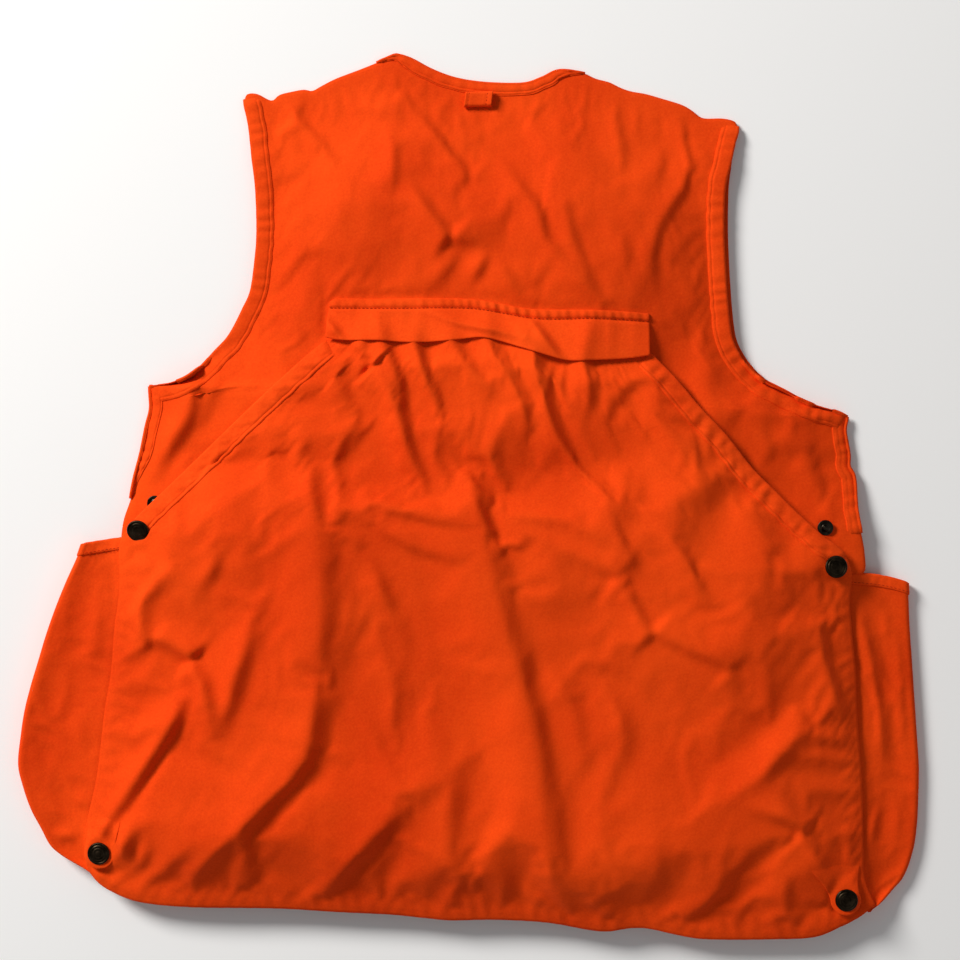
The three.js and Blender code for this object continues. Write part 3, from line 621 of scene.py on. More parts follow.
def cubic_weights(count, coarse):
    """Rows of weights that read a smooth curve through coarse samples at count even places."""
    table = np.zeros((count, coarse))
    for row, at in enumerate(np.linspace(0, coarse - 1, count)):
        i = min(int(at), coarse - 2)
        t = at - i
        weights = (
            (-t + 2 * t**2 - t**3) / 2,
            (2 - 5 * t**2 + 3 * t**3) / 2,
            (t + 4 * t**2 - 3 * t**3) / 2,
            (t**3 - t**2) / 2,
        )
        for shift, weight in zip((-1, 0, 1, 2), weights):
            table[row, min(max(i + shift, 0), coarse - 1)] += weight
    return table


def crumpled(grid, free, growth, frames, bending):
    """The grid after a cloth simulation with a little too much cloth, which makes it buckle into folds.

    free says how far each point may leave its place, from 0 to 1; growth is the share of spare cloth.
    """
    start = grid[::EVERY, ::EVERY]
    columns, rows = start.shape[:2]
    held = (1 - FREEDOM * free)[::EVERY, ::EVERY]
    index = np.arange(columns * rows).reshape(columns, rows)
    obj = new_object("cloth_run", start.reshape(-1, 3), quads_of(index), orange)
    group = obj.vertex_groups.new(name="held")
    for i, weight in enumerate(held.reshape(-1)):
        group.add([i], float(weight), "REPLACE")
    cloth = obj.modifiers.new("cloth", "CLOTH")
    settings = cloth.settings
    settings.quality = 6
    settings.mass = 0.3
    settings.tension_stiffness = settings.compression_stiffness = 30
    settings.shear_stiffness = 12
    settings.bending_stiffness = bending
    settings.tension_damping = settings.compression_damping = settings.shear_damping = 10
    settings.air_damping = 2
    settings.vertex_group_mass = "held"
    settings.pin_stiffness = 1
    settings.shrink_min = settings.shrink_max = -growth
    settings.effector_weights.gravity = 0
    cloth.collision_settings.use_collision = False
    cloth.point_cache.frame_start, cloth.point_cache.frame_end = 1, frames
    for frame_number in range(1, frames + 1):
        bpy.context.scene.frame_set(frame_number)
    shape = obj.evaluated_get(bpy.context.evaluated_depsgraph_get()).to_mesh()
    points = np.zeros(len(shape.vertices) * 3)
    shape.vertices.foreach_get("co", points)
    moved = points.reshape(columns, rows, 3) / MM - start
    size = np.linalg.norm(moved, axis=-1, keepdims=True)
    moved *= np.minimum(1, MOST_MOVED / np.maximum(size, 1e-6))
    bpy.data.objects.remove(obj)
    bpy.context.scene.frame_set(1)
    wide, tall = cubic_weights(grid.shape[0], columns), cubic_weights(grid.shape[1], rows)
    return grid + np.einsum("ac,crk,br->abk", wide, moved, tall)


# ---- Materials ----
def nodes_of(name):
    """A new material, its node tree and its shader."""
    material = bpy.data.materials.new(name)
    material.use_nodes = True
    tree = material.node_tree
    return material, tree, tree.nodes["Principled BSDF"]


def noise(tree, place, scale, detail=2):
    """Irregular values from 0 to 1 over a piece."""
    texture = tree.nodes.new("ShaderNodeTexNoise")
    texture.inputs["Scale"].default_value = scale
    texture.inputs["Detail"].default_value = detail
    tree.links.new(place, texture.inputs["Vector"])
    return texture.outputs["Fac"]


def bump(tree, height, strength, distance):
    """A relief from a height; its Normal output goes to a shader or to another relief."""
    node = tree.nodes.new("ShaderNodeBump")
    node.inputs["Strength"].default_value = strength
    node.inputs["Distance"].default_value = distance
    tree.links.new(height, node.inputs["Height"])
    return node


def colour(tree, shader, value, dark, light, dark_at=0, light_at=1):
    """The shader's colour runs from dark to light as the value grows."""
    ramp = tree.nodes.new("ShaderNodeValToRGB")
    for element, position, shade in zip(ramp.color_ramp.elements, (dark_at, light_at), (dark, light)):
        element.position = position
        element.color = (*shade, 1)
    tree.links.new(value, ramp.inputs["Fac"])
    tree.links.new(ramp.outputs["Color"], shader.inputs["Base Color"])


def cloth_material(name, dark, light, weave=0.00062, roughness=0.85, sheen=0.08):
    """Woven cotton: crossed threads, slubs, uneven dye and small creases."""
    material, tree, shader = nodes_of(name)
    link = tree.links.new
    place = tree.nodes.new("ShaderNodeTexCoord").outputs["Object"]
    blend = tree.nodes.new("ShaderNodeMath")
    blend.operation = "MULTIPLY_ADD"
    link(noise(tree, place, 620, 3), blend.inputs[0])
    blend.inputs[1].default_value = 0.55
    link(noise(tree, place, 9, 6), blend.inputs[2])
    colour(tree, shader, blend.outputs[0], dark, light, 0.55, 1.05)
    threads = tree.nodes.new("ShaderNodeMath")
    threads.operation = "ADD"
    for axis, height in zip(("X", "Y"), threads.inputs):
        wave = tree.nodes.new("ShaderNodeTexWave")
        wave.wave_type = "BANDS"
        wave.bands_direction = axis
        wave.inputs["Scale"].default_value = 1 / weave / 3.2
        wave.inputs["Distortion"].default_value = 0.6
        wave.inputs["Detail"].default_value = 1
        link(place, wave.inputs["Vector"])
        link(wave.outputs["Fac"], height)
    fine = bump(tree, threads.outputs[0], 0.35, 0.00012)
    coarse = bump(tree, noise(tree, place, 130, 5), 0.5, 0.0006)
    link(fine.outputs["Normal"], coarse.inputs["Normal"])
    link(coarse.outputs["Normal"], shader.inputs["Normal"])
    shader.inputs["Roughness"].default_value = roughness
    shader.inputs["Sheen Weight"].default_value = sheen
    shader.inputs["Sheen Roughness"].default_value = 0.5
    shader.inputs["Sheen Tint"].default_value = (1, 0.2, 0.03, 1)
    shader.inputs["Specular IOR Level"].default_value = 0.06
    return material


def metal_material(name, dark, light, roughness):
    """Plated brass, oxidised in patches: smoother and rougher, darker and lighter."""
    material, tree, shader = nodes_of(name)
    place = tree.nodes.new("ShaderNodeTexCoord").outputs["Object"]
    patches = noise(tree, place, 160, 6)
    colour(tree, shader, patches, dark, light, 0.38, 0.72)
    rough = tree.nodes.new("ShaderNodeMapRange")
    rough.inputs["To Min"].default_value = roughness - 0.12
    rough.inputs["To Max"].default_value = roughness + 0.18
    tree.links.new(patches, rough.inputs["Value"])
    tree.links.new(rough.outputs["Result"], shader.inputs["Roughness"])
    relief = bump(tree, patches, 0.25, 0.0002)
    tree.links.new(relief.outputs["Normal"], shader.inputs["Normal"])
    shader.inputs["Metallic"].default_value = 1.0
    return material


def plastic_material(name, dark, light):
    """Smooth plastic with a slightly uneven colour."""
    material, tree, shader = nodes_of(name)
    place = tree.nodes.new("ShaderNodeTexCoord").outputs["Object"]
    colour(tree, shader, noise(tree, place, 300), dark, light)
    shader.inputs["Roughness"].default_value = 0.42
    return material


orange = cloth_material("orange_duck", (0.70, 0.040, 0.002), (0.88, 0.068, 0.004))
hem_orange = cloth_material("orange_duck_edges", (0.72, 0.042, 0.002), (0.91, 0.074, 0.005))
lining_cloth = cloth_material(
    "coated_lining", (0.62, 0.06, 0.012), (0.80, 0.11, 0.03), roughness=0.5, sheen=0.05
)
# Thread darker than its own colour: painted shade for the shadowed stitch lines.
thread_with_painted_seam_shade = cloth_material("sewing_thread_with_painted_seam_shade", (0.30, 0.009, 0.001), (0.46, 0.016, 0.002), weave=0.0003)
tape_cloth = cloth_material("zip_tape", (0.62, 0.045, 0.006), (0.85, 0.075, 0.012), weave=0.0005)
# Brass darkened nearly to black: painted dark reflection, standing in for dark surroundings the caps mirror.
brass_painted_dark_reflection = metal_material("cap_brass_painted_dark_reflection", (0.010, 0.007, 0.004), (0.050, 0.034, 0.020), 0.34)
bright_brass = metal_material("worn_brass", (0.16, 0.12, 0.07), (0.62, 0.47, 0.28), 0.34)
# Brass darkened nearly to black: painted dark reflection, as on the caps.
stud_brass_painted_dark_reflection = metal_material("stud_brass_painted_dark_reflection", (0.010, 0.008, 0.006), (0.075, 0.060, 0.042), 0.30)
zip_metal = metal_material("zip_metal", (0.12, 0.09, 0.05), (0.45, 0.33, 0.18), 0.36)
teeth_plastic = plastic_material("zip_teeth", (0.55, 0.04, 0.006), (0.78, 0.07, 0.012))


def with_z(x, y, z):
    """Points from their three coordinates."""
    return np.stack([x, y, z], -1)


# ---- Body panels ----
BODY_BOUNDS = [0, 0.38, 0.56, 1]
body_left_edge = edge([LEFT_SEAM, LEFT_FLANK, LEFT_ARMHOLE], BODY_BOUNDS)
body_right_edge = edge([RIGHT_SEAM, RIGHT_FLANK, RIGHT_ARMHOLE], BODY_BOUNDS)
body_top_edge = edge([SHOULDER_LEFT, NECK, SHOULDER_RIGHT], [0, 0.31, 0.69, 1])
hem_edge = edge([BODY_HEM], [0, 1])


def narrowed(at, shift):
    """A side edge drawn in near the hem, where the pouch's seam covers it."""

    def moved(t):
        p = at(t)
        p[..., 0] += shift * (1 - smoothstep(t, 0.1, 0.4))
        return p

    return moved


FRONTS = {  # corner and neck are where the panel's outer and inner edges end
    "left": dict(
        sign=-1, outer=body_left_edge, shoulder=SHOULDER_LEFT, corner=(-290, -284), neck=(-60, 345)
    ),
    "right": dict(
        sign=1, outer=body_right_edge, shoulder=SHOULDER_RIGHT[::-1], corner=(307, -310), neck=(92, 331)
    ),
}
ARMHOLE_FOOT = 85
ZIP_HALF = 9  # from the closed zip's middle to the front panels
CLOTH_AS_SEEN = 0.9  # a little thinner than in the frame
BACK_CLEARANCE = 2.6  # from under the front panels to the top of the back, where it lies lowest
BACK_CEILING = 33.0  # the highest that any of its creases may stand


def make_back_panel():
    """The back with its creases; returns a reader of its height."""
    left, right = narrowed(body_left_edge, 5), narrowed(body_right_edge, -5)
    x, y = coons(left, right, hem_edge, body_top_edge, columns=190, rows=220)
    sides = np.minimum(x - left_body(y), right_body(y) - x)
    to_top = body_top(x) - y
    to_seam = np.minimum(to_top, np.where(y < ARMHOLE_FOOT, sides, 99))
    seam_roll = (1 - smoothstep(to_seam, -1, 5)) * 0.9
    grid = with_z(x, y, softened(back_over(x, y), 1) - seam_roll)
    free = smoothstep(np.minimum(sides, to_top), 8, 28) * smoothstep(y, -60, 0)
    grid = crumpled(grid, free, growth=0.006, frames=18, bending=0.6)
    grid[..., 2] = np.clip(grid[..., 2], front_under(x, y) + BACK_CLEARANCE, BACK_CEILING)
    obj = solid_sheet("back_panel_cloth", grid, CLOTH_AS_SEEN, orange)
    stand_in(obj, "back_panel")
    return surface_reader(grid)


def make_front_panel(side):
    """A front panel, lying nearly flat under the back."""
    front = FRONTS[side]
    sign = front["sign"]
    centre_x = CENTRE_X + sign * ZIP_HALF
    foot, bend = (centre_x, -304), (centre_x, 150)
    centre = edge([[foot, bend], [bend, (centre_x + sign * 12, 200), front["neck"]]], [0, 0.62, 1])
    hem = edge([[front["corner"], foot]], [0, 1])
    top = edge([front["shoulder"]], [0, 1])

    def flank(t):
        p = front["outer"](t)
        p[..., 0] -= sign * 4 * (1 - smoothstep(t, 0.1, 0.4))
        if side == "right":
            p[..., 0] += 5 * smoothstep(t, 0.58, 0.64) * (1 - smoothstep(t, 0.9, 1))
        p[np.asarray(t) < 1e-9] = front["corner"]
        return p

    x, y = coons(flank, centre, hem, top, columns=64, rows=150)
    held = smoothstep(np.abs(x - centre_x), 0, 30) * smoothstep(body_top(x) - y, 0, 40)
    bumps = 0.5 * crumple(x, y, 60, 31) * held
    z = front_under(x, y) + CLOTH - 0.1 + np.minimum(bumps, 0.4)
    if side == "right":
        x, y, z = x[::-1], y[::-1], z[::-1]
    obj = solid_sheet(f"front_panel_cloth_{side}", with_z(x, y, z), CLOTH_AS_SEEN, orange)
    stand_in(obj, f"front_panel_{side}")


# ---- Hems and facings ----
def ripple(run, seed, pitch=11.0):
    """Puckers along a stitched edge: irregular bumps about a pitch apart."""
    draw = np.random.default_rng(seed)
    phase = run / pitch * 2 * np.pi
    wander = 1.2 * np.sin(phase / 3.7 + draw.uniform(0, 6)) + 0.8 * np.sin(phase / 6.1 + draw.uniform(0, 6))
    strength = 0.65 + 0.35 * np.sin(phase / 5.3 + draw.uniform(0, 6))
    return strength * np.sin(phase + wander)


OVERHANG = 0.8  # how far a turned edge stands out past the cloth's outline
EDGE_RISE = 0.9  # how far it stands over the cloth


def make_strip(
    name, points, width, side, base, replaced, seed, body="vest", lift=0.3, pucker=0.5, rows=(2.4, 0.5),
    narrow=(0.0, 0.0), inner_step=0.55, groove=0.6,
):
    """A turned edge: from the outline inwards by its width, nearly flush with the cloth at its inner line.

    rows are the stitch rows' distances from the inner line. narrow is how far in from either end the strip
    comes to its full width.
    """
    line = path(points, 1.5)
    total = length_of(line)
    count = max(4, int(total / 1.8))
    share = np.linspace(0, 1, count)
    run = share * total
    at = along(line, share)
    d = np.gradient(at, axis=0)
    d /= np.linalg.norm(d, axis=1, keepdims=True)
    inward = np.stack([-d[:, 1], d[:, 0]], 1) * side
    wide = np.full(count, float(width)) + 0.3 * ripple(run, seed + 1, 17)
    for length, from_end in zip(narrow, (run, total - run)):
        if length:
            wide *= 0.12 + 0.88 * smoothstep(from_end, 0, length)
    across = np.array(
        [0, 0.05, 0.13, 0.24, 0.37, 0.5, 0.6, 0.68, 0.74, 0.79, 0.84, 0.89, 0.93, 0.96, 0.98, 1.0]
    )
    reach = -OVERHANG + (wide[:, None] + OVERHANG) * across
    x = at[:, None, 0] + inward[:, None, 0] * reach
    y = np.minimum(at[:, None, 1] + inward[:, None, 1] * reach, body_top(x) + OVERHANG)
    swell = np.sin(np.pi * across) ** 0.7
    puckers = pucker * ripple(run, seed)[:, None] * (0.25 + 0.75 * swell)
    puckers *= 1 - smoothstep(across, 0.86, 1)
    grooves = sum((groove * np.exp(-(((wide[:, None] - row - reach) / 0.7) ** 2)) for row in rows), 0 * x)
    step = (EDGE_RISE - inner_step) * smoothstep(across, 0.3, 0.9)
    z = base(x, y) + EDGE_RISE - step + lift * swell + puckers - grooves
    z[:, 0] -= 0.7
    z[:, -1] = base(x[:, -1], y[:, -1]) - 0.3
    z -= 1.5 * (1 - smoothstep(np.minimum(run, total - run), 0, 5))[:, None]
    grid = with_z(x, y, z)
    obj = solid_sheet(name, grid if side < 0 else grid[:, ::-1], 0.8, hem_orange)
    stand_in(obj, replaced, body)
    surface = surface_reader(grid)
    for number, row in enumerate(rows, 1):
        sew = (at + inward * (wide - row)[:, None])[4:-4]
        stitches(f"{name}_stitches_{number}", sew, lambda px, py: surface(px, py) - 0.12, body)


def bent_at(obj):
    """Bakes the object's placement into its mesh."""
    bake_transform(obj)


# ---- Pouch ----
POUCH_CLEARANCE = 4.0  # from under the back panel to the top of the pouch, where it lies lowest
POUCH_CEILING = 46  # above this the highest folds are eased off, to stay inside the frame's box


def make_pouch():
    """The pouch with its creases, one sheet with its mouth; returns a reader of its height."""
    left = edge([POUCH_LEFT_LOW, POUCH_LEFT_HIGH], [0, 0.58, 1])
    right = edge([POUCH_RIGHT_LOW, POUCH_RIGHT_HIGH], [0, 0.58, 1])
    bottom = edge([POUCH_HEM], [0, 1])
    top_points = [(-112, 117.5)] + [(x, y - 0.2) for x, y in FLAP_FREE_EDGE[1:-1]] + [(141, 108)]
    top = edge([top_points], [0, 1])
    x, y = coons(left, right, bottom, top, columns=236, rows=180)
    grid = with_z(x, y, softened(pouch_over(x, y), 1))
    sides = np.minimum(x - pouch_left(y), pouch_right(y) - x)
    free = smoothstep(np.minimum(np.minimum(sides, y - body_hem(x)), flap_free(x) - y + 4), 3, 20)
    grid = crumpled(grid, free, growth=0.016, frames=22, bending=1.2)
    z = np.maximum(grid[..., 2], back_under(x, y) - hem_droop(x, y) + POUCH_CLEARANCE)
    above = 7.5 * np.tanh((z - POUCH_CEILING) / 7.5)
    grid[..., 2] = np.where(z > POUCH_CEILING, POUCH_CEILING + above, z)
    obj = solid_sheet("pouch_cloth", grid, CLOTH_AS_SEEN, orange)
    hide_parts("pouch_panel", "pouch_mouth")
    bent_at(obj)
    return surface_reader(grid)


# ---- Flap over the pouch's mouth ----
FLAP_STROKES = [
    ([(-44, 146), (-10, 132), (14, 127), (50, 118)], 3.8, 7, 3),
    ([(34, 138), (44, 127), (52, 114)], 1.6, 9, 5),
    ([(42, 150), (58, 125), (82, 94)], 5.6, 12, 4),
    ([(-60, 150), (-66, 134), (-58, 112)], 2.0, 12, 6),
    ([(92, 148), (96, 126), (90, 96)], 1.6, 12, 6),
    ([(-112, 130), (-106, 126), (-99, 121)], 1.6, 6, 3),
    ([(-96, 140), (-70, 141), (-40, 141), (-10, 141)], 0.6, 5, 3),
    ([(-118, 148), (-103, 129), (-86, 112)], 3.6, 5, 3),
    ([(28, 134), (44, 128), (52, 118)], 1.0, 8, 4),
    ([(100, 132), (120, 130), (138, 128)], 0.5, 6, 4),
]


def band_puckers(x, y):
    """Gathers across the band, stronger where it runs downhill to the right."""
    strength = 0.2 + 0.55 * np.exp(-(((x - 35) / 38) ** 2)) + 0.15 * smoothstep(x, 60, 90)
    gathers = np.sin(2 * np.pi * (x + 0.25 * (y - 140)) / 7.3 + 1.4 * np.sin(x / 17))
    return strength * (gathers + 0.5 * np.sin(x / 2.9 + 2))


LOOSE = 0.78  # the share of the flap's rows below its band
BAND_LIFT = 1.7  # from the back to the top of the band
FLAP_GAP = 3.4  # from the pouch to the top of the free edge, at least


def make_flap():
    """The flap: a puckered band, sewn on the back, and a loose part that hangs over the pouch."""
    across = np.linspace(0, 1, 180)
    rows = np.concatenate([np.linspace(0, LOOSE, 24), np.linspace(LOOSE, 1, 9)[1:]])
    x_low = -110.5 + 251.5 * across
    x_high = -107.5 + 248.5 * across
    x = x_low[:, None] + (x_high - x_low)[:, None] * rows[None]
    free, seam, top = flap_free(x), flap_seam(x), band_top(x)
    y_loose = free + (seam - free) * rows / LOOSE
    y_band = seam + (top - seam) * (rows - LOOSE) / (1 - LOOSE)
    y = np.where(rows < LOOSE, y_loose, y_band)
    share = np.clip(rows / LOOSE, 0, 1)
    seam_z = back_top(x, seam) + BAND_LIFT
    bare = pouch_top(x, free - 1)
    eased = softened(bare, 60)
    free_z = eased + FLAP_GAP + np.max(bare - eased) * 0.75 + 0.3 * (bare - eased)
    hang = free_z + (seam_z - free_z) * smoothstep(share, -0.5, 1.15)
    hang += 1.3 * np.sin(np.pi * share) * (0.7 + 0.3 * waves(x, y, 45, 6)) + folds(x, y, FLAP_STROKES)
    band_share = np.clip((rows - LOOSE) / (1 - LOOSE), 0, 1)
    swell = np.sin(np.pi * band_share)
    band = back_top(x, y) + BAND_LIFT + 0.7 * swell + band_puckers(x, y) * (0.3 + 0.7 * swell)
    z = np.where(rows < LOOSE, hang, band)
    z -= 1.0 * np.exp(-(((rows - LOOSE) / 0.03) ** 2))
    z[:, -1] -= 0.6
    obj = solid_sheet("flap_cloth", with_z(x, y, z), 1.0, hem_orange)
    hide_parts("pouch_flap", "flap_band")
    bent_at(obj)
    line = path([(px, py + 0.2) for px, py in FLAP_STITCHES], 1.5)
    stitches("flap_seam_stitches", line, lambda px, py: back_top(px, py) + 1.15, "vest")


# ---- Hanger loop ----
LOOP_WIDTH = 21.6
LOOP_RADIUS, LOOP_HALF = 2.6, 6.2  # of its flattened ring, seen from the side
LOOP_SEAMS = (0.14, 0.80)  # where it's sewn down, as shares of its width


def make_loop():
    """A flattened ring of cloth, sewn down at two places."""
    low, high = (np.array(corner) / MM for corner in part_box("hanger_loop"))
    outline = []
    for end in (1, -1):
        centre = end * (LOOP_HALF - LOOP_RADIUS)
        for a in np.linspace(-90, 90, 9):
            out, up = math.cos(math.radians(a)), math.sin(math.radians(a))
            outline.append((centre + end * LOOP_RADIUS * out, end * LOOP_RADIUS * up))
    outline = path(np.array(outline + outline[:1]), 0.7)[:-1]
    columns = np.linspace(0, 1, 24)
    grid = np.zeros((len(columns), len(outline), 3))
    middle = (low + high) / 2
    middle[2] = highest(back_top, middle[0], middle[1], 6) + LOOP_RADIUS + 0.4
    for i, share in enumerate(columns):
        ridge = sum(0.25 * math.exp(-(((share - seam) / 0.04) ** 2)) for seam in LOOP_SEAMS)
        grid[i, :, 0] = middle[0] - LOOP_WIDTH / 2 + LOOP_WIDTH * share + 0.12 * (outline[:, 0] + 2)
        grid[i, :, 1] = middle[1] + 0.3 + outline[:, 0] + 0.5 * (share - 0.5)
        sag = np.where(outline[:, 1] > 0, -0.7 * math.sin(math.pi * share) - ridge, 0)
        grid[i, :, 2] = middle[2] + outline[:, 1] + sag
    faces = []
    centre = np.array([0, middle[1], middle[2]])
    inward = grid - (grid - centre) * np.array([0, 0.16, 0.36])
    verts = np.vstack([grid.reshape(-1, 3), inward.reshape(-1, 3)])
    n, m = len(columns), len(outline)
    outer = np.arange(n * m).reshape(n, m)
    inner = outer + n * m
    for j in range(m):
        k = (j + 1) % m
        for i in range(n - 1):
            faces.append((outer[i, j], outer[i + 1, j], outer[i + 1, k], outer[i, k]))
            faces.append((inner[i, j], inner[i, k], inner[i + 1, k], inner[i + 1, j]))
        faces.append((outer[0, k], inner[0, k], inner[0, j], outer[0, j]))
        faces.append((outer[-1, j], inner[-1, j], inner[-1, k], outer[-1, k]))
    obj = new_object("hanger_loop_cloth", verts, np.array(faces), hem_orange)
    stand_in(obj, "hanger_loop", "loop")
    top = middle[2] + LOOP_RADIUS - 0.9
    for number, seam in enumerate(LOOP_SEAMS, 1):
        x = middle[0] - LOOP_WIDTH / 2 + LOOP_WIDTH * seam
        line = path(np.array([(x - 0.6, middle[1] - 5), (x + 0.9, middle[1] + 5.6)]), 1)
        name = f"hanger_loop_stitches_{number}"
        stitches(name, line, lambda px, py: 0 * px + top, "loop", pitch=2.4, size=1.7)


# ---- Front pockets ----
POCKET_STROKES = {
    "left": [
        ([(-328, -268), (-314, -270), (-300, -266)], 3.0, 8, 5),
        ([(-312, -235), (-302, -243), (-293, -246)], 2.0, 6, 4),
        ([(-320, -215), (-306, -224), (-296, -225)], 1.8, 8, 5),
        ([(-282, -70), (-288, -110), (-294, -150)], 2.6, 10, 7),
        ([(-318, -100), (-330, -140), (-338, -180)], 1.6, 14, 9),
        ([(-300, -60), (-310, -90), (-316, -130)], 1.2, 14, 9),
        ([(-306, -170), (-300, -190), (-296, -205)], 1.6, 8, 5),
        ([(-336, -230), (-322, -246), (-312, -262)], 1.8, 9, 6),
    ],
    "right": [
        ([(306, -86), (316, -115), (325, -160), (330, -218)], 5.0, 9, 8),
        ([(326, -240), (320, -262), (315, -282)], 3.2, 8, 5),
        ([(310, -302), (316, -310), (322, -318)], 2.0, 5, 4),
        ([(338, -100), (342, -150), (345, -200)], 1.8, 9, 6),
        ([(334, -225), (340, -255), (336, -285)], 2.0, 8, 5),
        ([(320, -80), (330, -100), (333, -130)], 1.6, 8, 5),
    ],
}
POCKETS = {  # tilt is how far the upper layer leans down to its outer edge
    "left": dict(
        sign=-1, tilt=1.0, area=0.0815, edge=LEFT_POCKET_EDGE, inner=-75, seam=pouch_left, foot=-295.5,
        hem=[(-272, -34), (-285, -36), (-303, -39)],
    ),
    "right": dict(
        sign=1, tilt=6.5, area=0.0695, edge=RIGHT_POCKET_EDGE, inner=112, seam=pouch_right, foot=-327,
        hem=[(298, -61), (320, -63), (335, -66), (348, -70)],
    ),
}
POCKET_FOOT = -298.0  # how low the pockets' hidden parts reach
TUCK = 3.0  # how far a pocket runs in under the pouch's side
POCKET_CEILING = 19.0  # the highest that any of their creases may stand
POCKET_HEM = 8.6  # the width of their hems


def wrapped(pocket, outer, y, proud, strokes, drop):
    """A sheet that lies under the vest, folds round its side and comes back over it; [column, row]."""
    sign = pocket["sign"]
    seam = pocket["seam"](y) - sign * TUCK
    room = np.maximum(sign * (outer - seam), 1.0)
    round_x = np.minimum(4.5, 0.35 * room)
    fold = outer - sign * round_x
    columns = []
    for share in np.linspace(0, 1, 16)[:-1]:
        short = y + np.maximum(POCKET_FOOT - y, 0) * (1 - share) ** 0.6
        columns.append((pocket["inner"] + (fold - pocket["inner"]) * share, short, np.full_like(y, -proud)))
    top = POCKET_HEIGHT - pocket["tilt"] * smoothstep(room, 5, 30)
    for a in np.linspace(-90, 90, 11):
        out, lift = math.cos(math.radians(a)), math.sin(math.radians(a))
        columns.append((fold + sign * (round_x + proud) * out, y, top / 2 + (top / 2 + proud) * lift))
    covered = len(columns)
    for share in np.linspace(0, 1, 26)[1:]:
        x = fold + (seam - fold) * share
        sag = drop * math.sin(math.pi * min(share * 1.1, 1)) ** 0.8 * smoothstep(room, 4, 20)
        columns.append((x, y, top + (POCKET_HEIGHT - top) * share**0.8 + proud - sag - 0.6 * share))
    x, y, z = (np.array([column[k] for column in columns]) for k in range(3))
    upper = np.arange(len(columns))[:, None] >= covered
    reach = smoothstep(np.abs(x - outer[None]), 1, 12)
    bump = folds(x, y, strokes) + 0.9 * crumple(x, y, 40, 71) + 0.3 * crumple(x, y, 16, 72)
    z += np.where(upper, bump * reach * 0.8, 0)
    return with_z(x, y, np.clip(z, 0.0, POCKET_CEILING))


def make_pocket(side):
    """A sewn bag, open at its top, of which the outer edge shows past the pouch."""
    pocket = POCKETS[side]
    sign = pocket["sign"]
    line = path(pocket["edge"], 2.5)
    foot, head = pocket["foot"], pocket["hem"][-1][1] - 6.0
    line = line[(line[:, 1] < head) & (line[:, 1] > foot)]
    grid = wrapped(pocket, line[:, 0], line[:, 1], -0.3, POCKET_STROKES[side], 3.0)
    grid[..., 1] += hem_slant(pocket, grid) * smoothstep(grid[..., 1], head - 60, head)
    if sign > 0:
        grid = grid[:, ::-1]
    obj = solid_sheet(f"pocket_cloth_{side}", grid, CLOTH_AS_SEEN, orange)
    stand_in(obj, f"pocket_{side}")


def hem_slant(pocket, grid):
    """How far the pocket's top edge rises from its outer corner towards the pouch, on the upper layer."""
    hem = np.array(sorted(pocket["hem"]))
    rise = np.interp(grid[..., 0], hem[:, 0], hem[:, 1]) - pocket["hem"][-1][1]
    return np.where(grid[..., 2] > 8, rise, 0)


def make_pocket_hem(side):
    """The turned top edge of a pocket with its stitches."""
    pocket = POCKETS[side]
    sign = pocket["sign"]
    outer_y = pocket["hem"][-1][1]
    rows = np.linspace(0, 1, 7)
    y = outer_y - POCKET_HEM + POCKET_HEM * rows
    outer = np.interp(y, *np.array(sorted((py, px) for px, py in pocket["edge"])).T)
    grid = wrapped(pocket, outer, y, 0.5, [], 2.6)
    grid[..., 1] += hem_slant(pocket, grid)
    top = grid[..., 2] > 8
    grid[..., 2] += np.where(top, 0.35 * ripple(grid[..., 0], 75, 9) * np.sin(np.pi * rows)[None], 0)
    if sign > 0:
        grid = grid[:, ::-1]
    obj = solid_sheet(f"pocket_hem_cloth_{side}", grid, 1.6, hem_orange)
    stand_in(obj, f"pocket_hem_{side}")
    sew = path([(px, py - 7.4) for px, py in pocket["hem"]], 1.5)[:-2]
    stitches(f"pocket_hem_stitches_{side}", sew, lambda px, py: pocket_top(px, side) + 0.4, "vest")


def pocket_top(x, side):
    """Height of the pocket's hem between its outer fold and the pouch's side."""
    hem = POCKETS[side]["hem"]
    inner, outer = hem[0][0], hem[-1][0]
    share = np.clip((outer - x) / (outer - inner), 0, 1)
    return 16.5 - 2.6 * np.sin(np.pi * np.minimum(share * 1.1, 1)) ** 0.8


# ---- Corner tabs: the pouch's lower corners, folded over and held by the fastened snaps ----
TAB_WIDTH = 12.0
TAB_REACH = 26.0
LOWER_SNAPS = {"left": (-287.0, -279.0), "right": (294.0, -315.0)}
TAB_LIFT = 4.6  # from the pouch to the tab over the stud and socket
TABS = {  # how far the tab leans and widens towards its hinge, its pinched fold's height, and its cloth
    "left": dict(lean=0.16, widen=0.15, pinch=2.6, flat=(0.034, 0.044), area=0.00118),
    "right": dict(lean=-0.34, widen=0.9, pinch=1.0, flat=(0.048, 0.046), area=0.00142),
}


